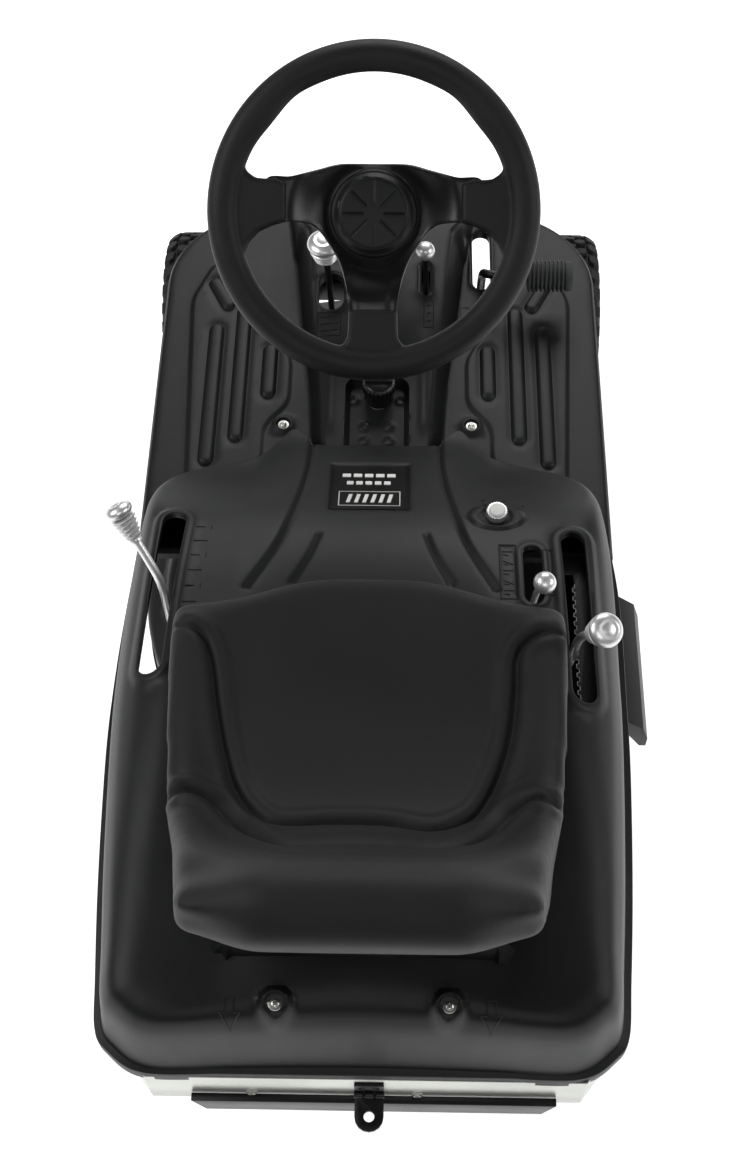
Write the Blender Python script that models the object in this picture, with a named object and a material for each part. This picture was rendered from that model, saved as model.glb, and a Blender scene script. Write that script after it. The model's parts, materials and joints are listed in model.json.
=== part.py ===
"""Compact ride-on mower, rear engine, driver facing +Y, ground at z = 0.  Metres."""
import math

import bmesh
import bpy
from mathutils import Vector

# ---------------------------------------------------------------- driving dimensions
GAP = 0.0004                 # clearance between pieces that touch
OFFSET = (-0.0190, -0.0080, 0.0)  # puts the middle of the bounding box over the origin

DECK_HALF = 0.3085           # foot deck half width
DECK_FRONT = 0.640           # foot deck front edge
DECK_REAR = 0.030
DECK_TOP = 0.300
DECK_SKIRT = 0.278
DECK_CORNER = 0.145

TUNNEL = [                   # y, half width at the top, half width at the foot, top height
    (0.176, 0.072, 0.0855, 0.346),
    (0.300, 0.080, 0.0940, 0.356),
    (0.380, 0.090, 0.1040, 0.372),
    (0.480, 0.098, 0.1150, 0.380),
    (0.570, 0.108, 0.1240, 0.378),
    (0.624, 0.112, 0.1320, 0.366),
]
WALL = 0.004                 # plastic wall

HOOD_OUTLINE = [             # right half of the hood's lower edge, front to back
    (0.000, 0.1750), (0.045, 0.1750), (0.0860, 0.1750), (0.0985, 0.1900), (0.118, 0.2060),
    (0.136, 0.1870), (0.160, 0.1600), (0.198, 0.1400), (0.236, 0.1260), (0.262, 0.1120),
    (0.284, 0.0850), (0.299, 0.0480), (0.307, -0.0050), (0.3125, -0.0900),
    (0.3155, -0.1700), (0.3160, -0.2500), (0.3120, -0.3500), (0.3060, -0.4500),
    (0.2985, -0.5400), (0.2930, -0.5950), (0.2790, -0.6180), (0.2380, -0.6420),
    (0.150, -0.6425), (0.070, -0.6425), (0.000, -0.6425),
]
HOOD_RINGS = [               # inset from the lower edge, height of the wall there
    (0.0000, 0.3004), (0.0000, 0.3120), (0.0090, 0.3135), (0.0125, 0.3400), (0.0190, 0.3900),
    (0.0300, 0.4230), (0.0480, 0.4460), (0.0760, 0.4700), (0.1200, 0.5200), (0.1900, 0.6000),
]
HOOD_TRIM_RIGHT = 0.020      # share by which the rear half is narrower on the right
LIP_WIDTH = 0.0130           # solid flange round the hood's lower edge
HOOD_MIDDLE = [(-0.66, 0.432), (-0.60, 0.440), (-0.50, 0.456), (-0.15, 0.460), (-0.03, 0.447),
               (0.05, 0.415), (0.12, 0.382), (0.175, 0.354), (0.22, 0.348)]
HOOD_FLANK = [(-0.66, 0.430), (-0.50, 0.448), (-0.15, 0.468), (-0.07, 0.456), (0.00, 0.436),
              (0.06, 0.400), (0.12, 0.360), (0.22, 0.338)]
PLINTH_TOP = 0.470           # seat plinth
PLINTH = (-0.140, -0.550, 0.140, -0.165)

FRONT_AXLE = (0.566, 0.135)  # y, z
PIVOT_Z = 0.155              # axle beam pivot
FRONT_TYRE_R = 0.135
FRONT_TYRE_X = (0.231, 0.327)
REAR_AXLE = (-0.370, 0.165)
REAR_TYRE_R = 0.165
REAR_TYRE_X = (0.158, 0.278)
KINGPIN_X = 0.185
ARM = 0.070                  # steering arm, kingpin to rack pin

STEER_CENTRE = Vector((0.0, 0.170, 0.768))
STEER_TILT = math.radians(42.0)
STEER_R = 0.1655             # to the middle of the grip
GRIP_R = 0.017
STEER_AXIS = Vector((0.0, -math.sin(STEER_TILT), math.cos(STEER_TILT)))

HITCH_X = 0.006
RAIL_X = (0.095, 0.125)
RAIL_Y = (-0.6405, 0.608)
RAIL_Z = (0.215, 0.265)

CRANK_Y = -0.290
SPINDLE_Y = 0.080
CUTTER_R = 0.318             # mower deck shell
CUTTER_TOP = 0.165
CUTTER_SKIRT = 0.070
BLADE_R = 0.300
LIFT_PIVOT = (-0.120, 0.2735)

SEAT_HALF = 0.218
SEAT_FLOOR = 0.4800          # underside of the cushion

# ---------------------------------------------------------------- clean start
for old in list(bpy.data.objects):
    bpy.data.objects.remove(old, do_unlink=True)


# ---------------------------------------------------------------- materials
def material(name, colour, rough, metal=0.0):
    mat = bpy.data.materials.new(name)
    mat.use_nodes = True
    bsdf = mat.node_tree.nodes["Principled BSDF"]
    bsdf.inputs["Base Color"].default_value = (*colour, 1.0)
    bsdf.inputs["Roughness"].default_value = rough
    bsdf.inputs["Metallic"].default_value = metal
    return mat


PLASTIC = ("plastic", (0.020, 0.021, 0.022), 0.45, 0.0)
VINYL = ("vinyl", (0.018, 0.018, 0.019), 0.55, 0.0)
RUBBER = ("rubber", (0.015, 0.015, 0.016), 0.75, 0.0)
GRIP = ("grip", (0.022, 0.022, 0.023), 0.60, 0.0)
BLACK_STEEL = ("black_steel", (0.018, 0.018, 0.020), 0.40, 0.3)
GREY_STEEL = ("grey_steel", (0.32, 0.33, 0.34), 0.40, 0.9)
ZINC = ("zinc", (0.62, 0.63, 0.60), 0.32, 1.0)
CHROME = ("chrome", (0.80, 0.80, 0.81), 0.18, 1.0)
CASTING = ("casting", (0.45, 0.46, 0.47), 0.50, 0.8)
RIM_PAINT = ("rim_paint", (0.55, 0.56, 0.57), 0.40, 0.2)
TANK = ("tank", (0.60, 0.60, 0.56), 0.50, 0.0)
LABEL = ("label", (0.030, 0.030, 0.032), 0.35, 0.0)
BATTERY = ("battery", (0.030, 0.032, 0.040), 0.40, 0.0)

# ---------------------------------------------------------------- bodies
machine = bpy.data.objects.new("machine", None)
machine.location = OFFSET
bpy.context.scene.collection.objects.link(machine)
BODIES = {"machine": (machine, Vector((0, 0, 0)))}


def body(name, origin):
    """An empty on the joint axis of a moving piece."""
    empty = bpy.data.objects.new("axis_" + name, None)
    empty.location = origin
    empty.parent = machine
    bpy.context.scene.collection.objects.link(empty)
    BODIES[name] = (empty, Vector(origin))
    return name


# ---------------------------------------------------------------- shapes
def join(*shapes):
    verts, faces = [], []
    for v, f in shapes:
        start = len(verts)
        verts += v
        faces += [tuple(i + start for i in face) for face in f]
    return verts, faces


def block(lo, hi):
    verts = [(x, y, z) for z in (lo[2], hi[2]) for y in (lo[1], hi[1]) for x in (lo[0], hi[0])]
    faces = [(0, 2, 3, 1), (4, 5, 7, 6), (0, 1, 5, 4), (2, 6, 7, 3), (0, 4, 6, 2), (1, 3, 7, 5)]
    return verts, faces


def basis(axis):
    w = Vector(axis).normalized()
    u = Vector((1, 0, 0)) if abs(w.x) < 0.9 else Vector((0, 1, 0))
    u = (u - w * u.dot(w)).normalized()
    return u, w.cross(u), w


def lathe(profile, count, origin, axis, ring=False, start=0.0):
    """Turn (radius, height) points around an axis; ring = profile that closes on itself."""
    u, v, w = basis(axis)
    origin = Vector(origin)
    verts, rows = [], []
    for r, h in profile:
        row = []
        if r < 1e-7:
            row = [len(verts)]
            verts.append(tuple(origin + w * h))
        else:
            for i in range(count):
                a = start + 2 * math.pi * i / count
                row.append(len(verts))
                verts.append(tuple(origin + w * h + (u * math.cos(a) + v * math.sin(a)) * r))
        rows.append(row)
    faces = []
    pairs = list(zip(rows, rows[1:]))
    if ring:
        pairs.append((rows[-1], rows[0]))
    for a, b in pairs:
        for i in range(count):
            j = (i + 1) % count
            if len(a) == 1 and len(b) == 1:
                continue
            if len(a) == 1:
                faces.append((a[0], b[i], b[j]))
            elif len(b) == 1:
                faces.append((a[i], b[0], a[j]))
            else:
                faces.append((a[i], b[i], b[j], a[j]))
    if not ring:
        if len(rows[0]) > 1:
            faces.append(tuple(rows[0]))
        if len(rows[-1]) > 1:
            faces.append(tuple(rows[-1]))
    return verts, faces


def rod(a, b, radius, count=10):
    a, b = Vector(a), Vector(b)
    return lathe([(radius, 0.0), (radius, (b - a).length)], count, a, b - a)


def stack(rings, cap=True):
    """Skin a list of equal rings of points."""
    count = len(rings[0])
    verts = [tuple(p) for ring in rings for p in ring]
    faces = []
    for k in range(len(rings) - 1):
        for i in range(count):
            j = (i + 1) % count
            faces.append((k * count + i, k * count + j, (k + 1) * count + j, (k + 1) * count + i))
    if cap:
        faces.append(tuple(range(count)))
        faces.append(tuple(range((len(rings) - 1) * count, len(rings) * count)))
    return verts, faces


def extrude(outline, origin, u, v, depth):
    """A flat outline in (u, v), thickened along u x v."""
    origin, u, v = Vector(origin), Vector(u), Vector(v)
    w = u.cross(v).normalized()
    low = [origin + u * p[0] + v * p[1] for p in outline]
    return stack([low, [p + w * depth for p in low]])


def prism(outline, z0, z1):
    return extrude(outline, (0, 0, z0), (1, 0, 0), (0, 1, 0), z1 - z0)


def sweep(path, radii, sides=8, closed=False, squash=None):
    """A round bar along a path; squash = (width, height) factors of the section."""
    pts = [Vector(p) for p in path]
    n = len(pts)
    radii = radii if isinstance(radii, (list, tuple)) else [radii] * n
    rings, normal = [], None
    for i, p in enumerate(pts):
        before = pts[i - 1] if i or closed else pts[0]
        after = pts[(i + 1) % n] if i < n - 1 or closed else pts[-1]
        t = (after - before).normalized()
        if normal is None:
            normal = basis(t)[0]
        normal = (normal - t * normal.dot(t)).normalized()
        side = t.cross(normal)
        kx, ky = squash or (1.0, 1.0)
        rings.append([p + normal * (math.cos(2 * math.pi * k / sides) * radii[i] * kx)
                      + side * (math.sin(2 * math.pi * k / sides) * radii[i] * ky)
                      for k in range(sides)])
    if closed:
        rings.append(rings[0])
        verts, faces = stack(rings, cap=False)
        count = sides * n
        faces = [tuple(i % count for i in f) for f in faces]
        return verts[:count], faces
    return stack(rings)


def arc(cx, cy, r, a0, a1, count):
    return [(cx + r * math.cos(math.radians(a0 + (a1 - a0) * i / (count - 1))),
             cy + r * math.sin(math.radians(a0 + (a1 - a0) * i / (count - 1))))
            for i in range(count)]


def pill(x0, y0, x1, y1, half, count=5):
    """Outline of a slot with round ends between two points."""
    a = math.degrees(math.atan2(y1 - y0, x1 - x0))
    return arc(x1, y1, half, a - 90, a + 90, count) + arc(x0, y0, half, a + 90, a + 270, count)


def rounded(x0, y0, x1, y1, r, count=4):
    return (arc(x1 - r, y1 - r, r, 0, 90, count) + arc(x0 + r, y1 - r, r, 90, 180, count)
            + arc(x0 + r, y0 + r, r, 180, 270, count) + arc(x1 - r, y0 + r, r, 270, 360, count))


def curve(table, y):
    table = sorted(table)
    if y <= table[0][0]:
        return table[0][1]
    for (a, va), (b, vb) in zip(table, table[1:]):
        if y <= b:
            return va + (vb - va) * (y - a) / (b - a)
    return table[-1][1]


def ease(t):
    t = min(max(t, 0.0), 1.0)
    return t * t * (3.0 - 2.0 * t)


# ---------------------------------------------------------------- objects
def place(name, shape, where):
    """An object in the frame of its body, with every face turned outwards."""
    empty, origin = BODIES[where]
    mesh = bpy.data.meshes.new(name)
    mesh.from_pydata([tuple(Vector(p) - origin) for p in shape[0]], [], shape[1])
    bm = bmesh.new()
    bm.from_mesh(mesh)
    bmesh.ops.remove_doubles(bm, verts=bm.verts, dist=1e-6)
    bmesh.ops.recalc_face_normals(bm, faces=bm.faces)
    bm.to_mesh(mesh)
    bm.free()
    obj = bpy.data.objects.new(name, mesh)
    obj.parent = empty
    bpy.context.scene.collection.objects.link(obj)
    return obj


def piece(name, shape, look, where="machine", bevel=0.0, smooth=True, add=(), cut=()):
    obj = place(name, shape, where)
    obj.data.materials.append(material(name + "_" + look[0], look[1], look[2], look[3]))
    for k, extra in enumerate(add):
        helper(obj, f"{name}_add{k}", extra, where, "UNION")
    for k, hole in enumerate(cut):
        helper(obj, f"{name}_cut{k}", hole, where, "DIFFERENCE")
    if bevel:
        mod = obj.modifiers.new("edges", "BEVEL")
        mod.width = bevel
        mod.segments = 1
        mod.limit_method = "ANGLE"
        mod.angle_limit = math.radians(40)
    if smooth:
        for poly in obj.data.polygons:
            poly.use_smooth = True
        obj.data.set_sharp_from_angle(angle=math.radians(35))
    return obj


def helper(obj, name, shape, where, operation):
    tool = place(name, shape, where)
    tool.hide_render = True
    tool.display_type = "WIRE"
    mod = obj.modifiers.new(name, "BOOLEAN")
    mod.object = tool
    mod.operation = operation
    mod.solver = "EXACT"


# ---------------------------------------------------------------- chassis
def chassis():
    for side, s in (("left", -1), ("right", 1)):
        x = sorted((s * RAIL_X[0], s * RAIL_X[1]))
        piece("frame_rail_" + side,
              block((x[0], RAIL_Y[0], RAIL_Z[0]), (x[1], RAIL_Y[1], RAIL_Z[1])),
              BLACK_STEEL, bevel=0.003)
    # front cross channel with the axle pivot pin pointing through the beam
    low, high = 0.172, RAIL_Z[1] - 0.004
    inner = RAIL_X[0] - GAP
    arch = [(-inner, 0.222), (-0.040, 0.222), (-0.028, low - 0.040), (0.028, low - 0.040),
            (0.040, 0.222), (inner, 0.222), (inner, high), (-inner, high)]
    mid = FRONT_AXLE[0]
    plate = extrude(arch, (0, mid + 0.034, 0), (1, 0, 0), (0, 0, 1), 0.006)
    rear = extrude(arch, (0, mid - 0.028, 0), (1, 0, 0), (0, 0, 1), 0.006)
    bridge = block((-inner, mid - 0.031, high - 0.006), (inner, mid + 0.031, high))
    pin = rod((0, mid - 0.045, PIVOT_Z), (0, mid + 0.038, PIVOT_Z), 0.009, 12)
    piece("front_axle_bracket", plate, BLACK_STEEL, add=(bridge, rear, pin), smooth=False)
    # zinc rear plate with its side gussets folded forward
    y = -0.6430
    fold = [(-0.262, -0.610), (-0.236, y), (0.240, y), (0.266, -0.610),
            (0.2635, -0.6085), (0.2385, y + 0.0025), (-0.2345, y + 0.0025), (-0.2595, -0.6085)]
    piece("rear_plate", prism([(px, py - 0.0005) for px, py in fold], 0.2200, 0.2996), ZINC,
          smooth=False)
    # angle bar under the plate, ends mitred
    back = y - 0.0009
    bar = [(back, 0.2370), (back, 0.2400), (back - 0.0090, 0.2400), (back - 0.0090, 0.2050),
           (back - 0.0060, 0.2050), (back - 0.0060, 0.2370)]
    ring0 = [(-0.191 + 0.4 * (0.2400 - z), p, z) for p, z in bar]
    ring1 = [(0.212 - 0.4 * (0.2400 - z), p, z) for p, z in bar]
    piece("bumper_bar", stack([ring0, ring1]), BLACK_STEEL, smooth=False)
    # folded tow plate with its pin hole, the tongue just above the bar
    x, front = HITCH_X, y - 0.0014
    tongue = [(x - 0.016, front)] + arc(x, -0.6690, 0.016, 180, 360, 9) + [(x + 0.016, front)]
    tab = block((x - 0.016, front - 0.0030, 0.2437), (x + 0.016, front, 0.2900))
    hole = lathe([(0.006, 0.2300), (0.006, 0.2600)], 16, (x, -0.6690, 0), (0, 0, 1))
    piece("tow_hitch", prism(tongue, 0.2437, 0.2487), BLACK_STEEL, add=(tab,), cut=(hole,),
          smooth=False)


# ---------------------------------------------------------------- foot deck
def deck_outline(inset=0.0, rear=0.0):
    half, front, r = DECK_HALF - inset, DECK_FRONT - inset, DECK_CORNER - inset
    right = arc(half - r, front - r, r, 0, 90, 9)
    left = arc(-half + r, front - r, r, 90, 180, 9)
    return [(half, DECK_REAR + rear)] + right + left + [(-half, DECK_REAR + rear)]


def tunnel_shape(inset, foot):
    rings = []
    for k, (y, top, low, z) in enumerate(TUNNEL):
        y += inset if k == 0 else (-inset if k == len(TUNNEL) - 1 else 0.0)
        top, low, z = top - inset, low - inset, z - inset
        edge = 0.010
        rings.append([Vector((-low, y, foot)), Vector((-low, y, DECK_TOP - 0.001)),
                      Vector((-top, y, z - edge)), Vector((-top + edge, y, z)),
                      Vector((top - edge, y, z)), Vector((top, y, z - edge)),
                      Vector((low, y, DECK_TOP - 0.001)), Vector((low, y, foot))])
    return stack(rings)


def foot_pad(side):
    """Raised non-slip ribs of one foot rest."""
    ribs = [((0.230, 0.175), (0.230, 0.404)), ((0.1925, 0.215), (0.1925, 0.437)),
            ((0.152, 0.291), (0.152, 0.366)), ((0.216, 0.452), (0.236, 0.492))]
    shapes = []
    for (x0, y0), (x1, y1) in ribs:
        low = pill(side * x0, y0, side * x1, y1, 0.0115)
        top = pill(side * x0, y0, side * x1, y1, 0.0085)
        shapes.append(stack([[Vector((x, y, DECK_TOP - 0.002)) for x, y in low],
                             [Vector((x, y, DECK_TOP + 0.0035)) for x, y in top]]))
    return shapes


def foot_deck():
    tray = prism(deck_outline(), DECK_SKIRT, DECK_TOP)
    under = prism(deck_outline(WALL, -0.02), DECK_SKIRT - 0.01, DECK_TOP - WALL)
    ribs = join(*(foot_pad(-1) + foot_pad(1)))
    arches = join(*[block((0.2700 * s - 0.0470, 0.420, 0.25), (0.2700 * s + 0.0500, 0.66, DECK_TOP - WALL))
                    for s in (-1, 1)])
    slots = join(
        prism(pill(0.1465, 0.4975, 0.1465, 0.5845, 0.0130), 0.25, 0.42),
        prism(pill(-0.0655, 0.3990, -0.0655, 0.4250, 0.0175), 0.32, 0.42),
        prism(pill(0.0645, 0.4130, 0.0645, 0.4560, 0.0060), 0.32, 0.42),
        lathe([(0.0195, 0.32), (0.0195, 0.42)], 20, (0.002, 0.255, 0), (0, 0, 1)),
        rod(STEER_CENTRE - STEER_AXIS * 0.46, STEER_CENTRE - STEER_AXIS * 0.60, 0.0215, 20),
        prism(rounded(-0.088, -0.05, 0.088, 0.105, 0.012), 0.25, 0.33),
    )
    piece("foot_deck", tray, PLASTIC,
          add=(tunnel_shape(0.0, DECK_TOP - WALL + 0.0005), ribs),
          cut=(tunnel_shape(WALL, DECK_SKIRT - 0.01), under, arches, slots))


# ---------------------------------------------------------------- hood
def hood_top(x, y):
    t = ease((abs(x) - 0.085) / 0.075)
    return curve(HOOD_MIDDLE, y) * (1 - t) + curve(HOOD_FLANK, y) * t


def hood_ring(inset, height, drop):
    half = HOOD_OUTLINE
    loop = half + [(-x, y) for x, y in reversed(half[1:-1])]
    ring = []
    for x, y in loop:
        if x > 0.0:
            x *= 1.0 - HOOD_TRIM_RIGHT * ease((-y - 0.02) / 0.20)
        anchor = Vector((0.0, min(max(y, -0.470), 0.020)))
        p = Vector((x, y))
        reach = anchor - p
        p = p + reach.normalized() * min(inset, reach.length - 0.004)
        z = min(height, hood_top(p.x, p.y))
        ring.append(Vector((p.x, p.y, z - drop)))
    return ring


def hood():
    outer = [hood_ring(d, z, 0.0) for d, z in HOOD_RINGS]
    inner = [hood_ring(LIP_WIDTH, HOOD_RINGS[0][1], 0.0)]
    inner += [hood_ring(d + WALL, z, WALL) for d, z in HOOD_RINGS[3:]]
    count = len(outer[0])
    verts, faces = stack(list(reversed(inner)) + outer, cap=False)
    # the crown closes on a line of points along the middle, above and below
    for base, ring, drop in ((0, inner[-1], WALL), ((len(inner) + len(outer) - 1) * count,
                                                    outer[-1], 0.0)):
        spine = {}
        for p in ring:
            y = round(min(max(p.y, -0.470), 0.020), 4)
            if y not in spine:
                spine[y] = len(verts)
                verts.append((0.0, y, hood_top(0.0, y) - drop))
        for i in range(count):
            j = (i + 1) % count
            a = spine[round(min(max(ring[i].y, -0.470), 0.020), 4)]
            b = spine[round(min(max(ring[j].y, -0.470), 0.020), 4)]
            face = [base + i, base + j, b] + ([a] if a != b else [])
            faces.append(tuple(face))
    x0, y0, x1, y1 = PLINTH
    low = rounded(x0 - 0.008, y0 - 0.008, x1 + 0.008, y1 + 0.008, 0.020)
    top = rounded(x0, y0, x1, y1, 0.016)
    plinth = stack([[Vector((x, y, 0.4575)) for x, y in low],
                    [Vector((x, y, PLINTH_TOP)) for x, y in top]])
    bosses = join(*[lathe([(0.021, 0.431), (0.0175, 0.443), (0.0150, 0.4462)], 16,
                          (s * 0.088, -0.607, 0), (0, 0, 1)) for s in (-1, 1)])
    openings = join(
        prism(pill(-0.2385, -0.0220, -0.2475, -0.2260, 0.0145), 0.38, 0.50),
        prism(pill(0.2375, -0.0500, 0.2405, -0.2560, 0.0145), 0.38, 0.50),
        prism(pill(0.1885, -0.0680, 0.1885, -0.1340, 0.0115), 0.38, 0.50),
        lathe([(0.0075, 0.36), (0.0075, 0.50)], 14, (0.149, -0.006, 0), (0, 0, 1)),
        label_block(0.0, 0.030),
    )
    piece("hood", (verts, faces), PLASTIC, add=(plinth, bosses), cut=(openings,))


def label_block(low, high, trim=0.0):
    """Block lying on the slope of the label recess, from low to high above its floor."""
    a = Vector((-0.0055, 0.0050, 0.4275))
    b = Vector((-0.0055, 0.1100, 0.3800))
    v = (b - a)
    n = Vector((1, 0, 0)).cross(v).normalized()
    half, length = 0.0515 - trim, v.length
    v.normalize()
    outline = rounded(-half, trim, half, length - trim, 0.004 - trim * 0.5, 3)
    return extrude(outline, a + n * low, (1, 0, 0), v, high - low)


def hood_trim():
    piece("label_plate", label_block(GAP, 0.0018, 0.0006), LABEL, smooth=False)
    for side, s in (("left", -1), ("right", 1)):
        shape = lathe([(0.0085, 0.4466), (0.0085, 0.4486), (0.0060, 0.4512), (0.0, 0.4518)], 14,
                      (s * 0.088, -0.607, 0), (0, 0, 1))
        recess = block((s * 0.088 - 0.0030, -0.6076, 0.4500), (s * 0.088 + 0.0030, -0.6064, 0.4540))
        piece("hood_bolt_" + side, shape, ZINC, cut=(recess,))


# ---------------------------------------------------------------- steering
def steering():
    body("steering", tuple(STEER_CENTRE))
    u, v = Vector((1, 0, 0)), STEER_AXIS.cross(Vector((1, 0, 0)))
    path, radii = [], []
    count = 36
    for i in range(count):
        a = 2 * math.pi * i / count
        p = STEER_CENTRE + (u * math.cos(a) + v * math.sin(a)) * STEER_R
        deg = math.degrees(a)
        bulge = sum(math.exp(-((deg - m) / 14.0) ** 2) for m in (38.0, 142.0))
        path.append(p)
        radii.append(GRIP_R + 0.0022 * bulge)
    piece("steering_rim", sweep(path, radii, 10, closed=True), GRIP, "steering")
    # three-spoke plate: flat arms reaching the grip, a dished boss in the middle
    dish = -0.030
    boss = lathe([(0.0, dish - 0.010), (0.030, dish - 0.010), (0.052, dish - 0.002),
                  (0.052, dish + 0.004), (0.044, dish + 0.006), (0.0, dish + 0.006)], 24,
                 STEER_CENTRE, STEER_AXIS)
    arms = []
    for deg, wide in ((0.0, 0.041), (180.0, 0.041), (270.0, 0.024)):
        a = math.radians(deg)
        out = u * math.cos(a) + v * math.sin(a)
        side = STEER_AXIS.cross(out)
        reach = STEER_R - GRIP_R - 0.0026
        half = STEER_AXIS * 0.0045
        rings = []
        for d, w, h in ((0.034, 0.020, dish), (0.075, 0.016, dish + 0.006),
                        (0.112, 0.7 * wide, -0.008), (reach - 0.018, wide, -0.001),
                        (reach, wide, 0.0)):
            across = []
            for k in (-1.0, -0.4, 0.4, 1.0):
                depth = d
                if d > reach - 0.001:
                    depth = math.sqrt(d * d - (w * k) ** 2)
                across.append(STEER_CENTRE + out * depth + side * (w * k) + STEER_AXIS * h)
            rings.append([p - half for p in across] + [p + half for p in reversed(across)])
        arms.append(stack(rings))
    piece("steering_spokes", boss, BLACK_STEEL, "steering", add=tuple(arms))
    cap = [(0.0, 0.0), (0.038, 0.0), (0.040, 0.004), (0.0395, 0.008), (0.036, 0.0105), (0.0, 0.012)]
    piece("hub_cap", lathe([(r, dish + 0.0064 + h) for r, h in cap], 28, STEER_CENTRE,
                           STEER_AXIS), PLASTIC, "steering")
    # shaft inside the column, ending in the pinion
    bottom = 0.6980
    shaft = lathe([(0.0085, dish - 0.0104), (0.0085, -bottom + 0.020)], 12, STEER_CENTRE, STEER_AXIS)
    teeth = []
    count = 10
    for i in range(count):
        for k, r in ((0.0, 0.0115), (0.25, 0.0145), (0.55, 0.0145), (0.8, 0.0115)):
            a = 2 * math.pi * (i + k) / count
            teeth.append((r * math.cos(a), r * math.sin(a)))
    gear = extrude(teeth, STEER_CENTRE - STEER_AXIS * (bottom + 0.004), (1, 0, 0),
                   v, 0.026)
    piece("steering_shaft", shaft, GREY_STEEL, "steering", add=(gear,))
    # fixed column tube with its flared boot on the console
    tube = [(0.0125, -0.075), (0.0165, -0.075), (0.0170, -0.440), (0.0195, -0.470),
            (0.0195, -0.575), (0.0125, -0.575)]
    piece("steering_column", lathe(tube, 20, STEER_CENTRE, STEER_AXIS, ring=True), PLASTIC)


def front_axle():
    y0, z0 = FRONT_AXLE
    y1 = y0 + ARM
    body("rack", (0.0, y1, 0.2600))
    # rack bar ahead of the pinion, slotted ends for the steering arm pins
    ends = join(*[prism(rounded(s * (KINGPIN_X - 0.005) - 0.020, y1 - 0.020,
                                s * (KINGPIN_X - 0.005) + 0.020, y1 + 0.020, 0.006), 0.2560, 0.2620)
                  for s in (-1, 1)])
    slots = join(*[prism(pill(s * KINGPIN_X, y1 - 0.0060, s * KINGPIN_X, y1 + 0.0010, 0.0102),
                         0.25, 0.27) for s in (-1, 1)])
    bar = block((-0.168, y1 + 0.0160, 0.2552), (0.168, y1 + 0.0260, 0.2652))
    piece("steering_rack", bar, GREY_STEEL, "rack", add=(ends,), cut=(slots,), smooth=False)
    body("front_axle", (0.0, y0, PIVOT_Z))
    beam = [(-0.160, z0 - 0.014), (-0.040, PIVOT_Z - 0.020), (0.040, PIVOT_Z - 0.020),
            (0.160, z0 - 0.014), (0.160, z0 + 0.014), (0.040, PIVOT_Z + 0.016),
            (-0.040, PIVOT_Z + 0.016), (-0.160, z0 + 0.014)]
    shape = extrude(beam, (0, y0 + 0.016, 0), (1, 0, 0), (0, 0, 1), 0.032)
    yokes = []
    for s in (-1, 1):
        for z in (z0 - 0.030, z0 + 0.022):
            yokes.append(extrude(pill(s * 0.150, y0, s * KINGPIN_X, y0, 0.016), (0, 0, z),
                                 (1, 0, 0), (0, 1, 0), 0.008))
        yokes.append(block((s * 0.158 - 0.008, y0 - 0.0158, z0 - 0.0298),
                           (s * 0.158 + 0.008, y0 + 0.0158, z0 + 0.0298)))
    bores = join(rod((0, y0 - 0.05, PIVOT_Z), (0, y0 + 0.05, PIVOT_Z), 0.0096, 12),
                 *[rod((s * KINGPIN_X, y0, z0 - 0.05), (s * KINGPIN_X, y0, z0 + 0.05), 0.0086, 12)
                   for s in (-1, 1)])
    piece("front_axle_beam", shape, BLACK_STEEL, "front_axle", add=tuple(yokes), cut=(bores,),
          smooth=False)
    for side, s in (("left", -1), ("right", 1)):
        x = s * KINGPIN_X
        name = body("steer_" + side, (x, y0, z0))
        post = rod((x, y0, z0 - 0.034), (x, y0, 0.2400), 0.0080, 12)
        stub = rod((s * (KINGPIN_X - 0.002), y0, z0), (s * 0.2900, y0, z0), 0.0080, 12)
        hub = lathe([(0.013, z0 - 0.0214), (0.013, z0 + 0.0214)], 12, (x, y0, 0), (0, 0, 1))
        arm = prism(pill(x, y0, x, y1, 0.0100), 0.2340, 0.2410)
        pin = rod((x, y1, 0.2380), (x, y1, 0.2680), 0.0045, 10)
        piece("knuckle_" + side, post, GREY_STEEL, name, add=(hub, stub, arm, pin))
        wheel("front_" + side, s, FRONT_AXLE, FRONT_TYRE_R, FRONT_TYRE_X, 0.070, 0.0086)


def wheel(name, s, axle, radius, span, rim_r, bore):
    """Tyre with a flat foot facet, and the pressed rim inside it."""
    y, z = axle
    where = body("wheel_" + name, (s * span[0], y, z))
    count = 32
    facet = radius / math.cos(math.pi / count)
    start = math.pi / count
    x0, x1 = span
    wide = x1 - x0
    shoulder = radius * 0.13
    tyre = [(rim_r, x0 + 0.10 * wide), (rim_r + 0.014, x0), (facet - shoulder, x0),
            (facet - 0.30 * shoulder, x0 + 0.07 * wide), (facet, x0 + 0.20 * wide),
            (facet, x1 - 0.20 * wide), (facet - 0.30 * shoulder, x1 - 0.07 * wide),
            (facet - shoulder, x1), (rim_r + 0.014, x1), (rim_r, x1 - 0.10 * wide)]
    axis = (s, 0, 0)
    piece("tyre_" + name, lathe(tyre, count, (0, y, z), axis, ring=True, start=start), RUBBER,
          where)
    r = rim_r * math.cos(math.pi / count) - GAP
    mid = 0.5 * (x0 + x1)
    rim = [(bore, x0 + 0.012), (0.024, x0 + 0.012), (0.024, mid), (r - 0.014, mid + 0.006),
           (r - 0.006, x0 + 0.012), (r, x0 + 0.012), (r, x1 - 0.012), (r - 0.010, mid + 0.014),
           (0.026, mid + 0.010), (0.022, x1 - 0.022), (bore, x1 - 0.022)]
    if bore:
        piece("rim_" + name, lathe(rim, 20, (0, y, z), axis, ring=True), RIM_PAINT, where)
    else:
        shaft = [(0.0, 0.1185), (0.0090, 0.1185), (0.0090, x0 + 0.010)]
        piece("rim_" + name, lathe(shaft + rim[1:], 20, (0, y, z), axis), RIM_PAINT, where)


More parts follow.
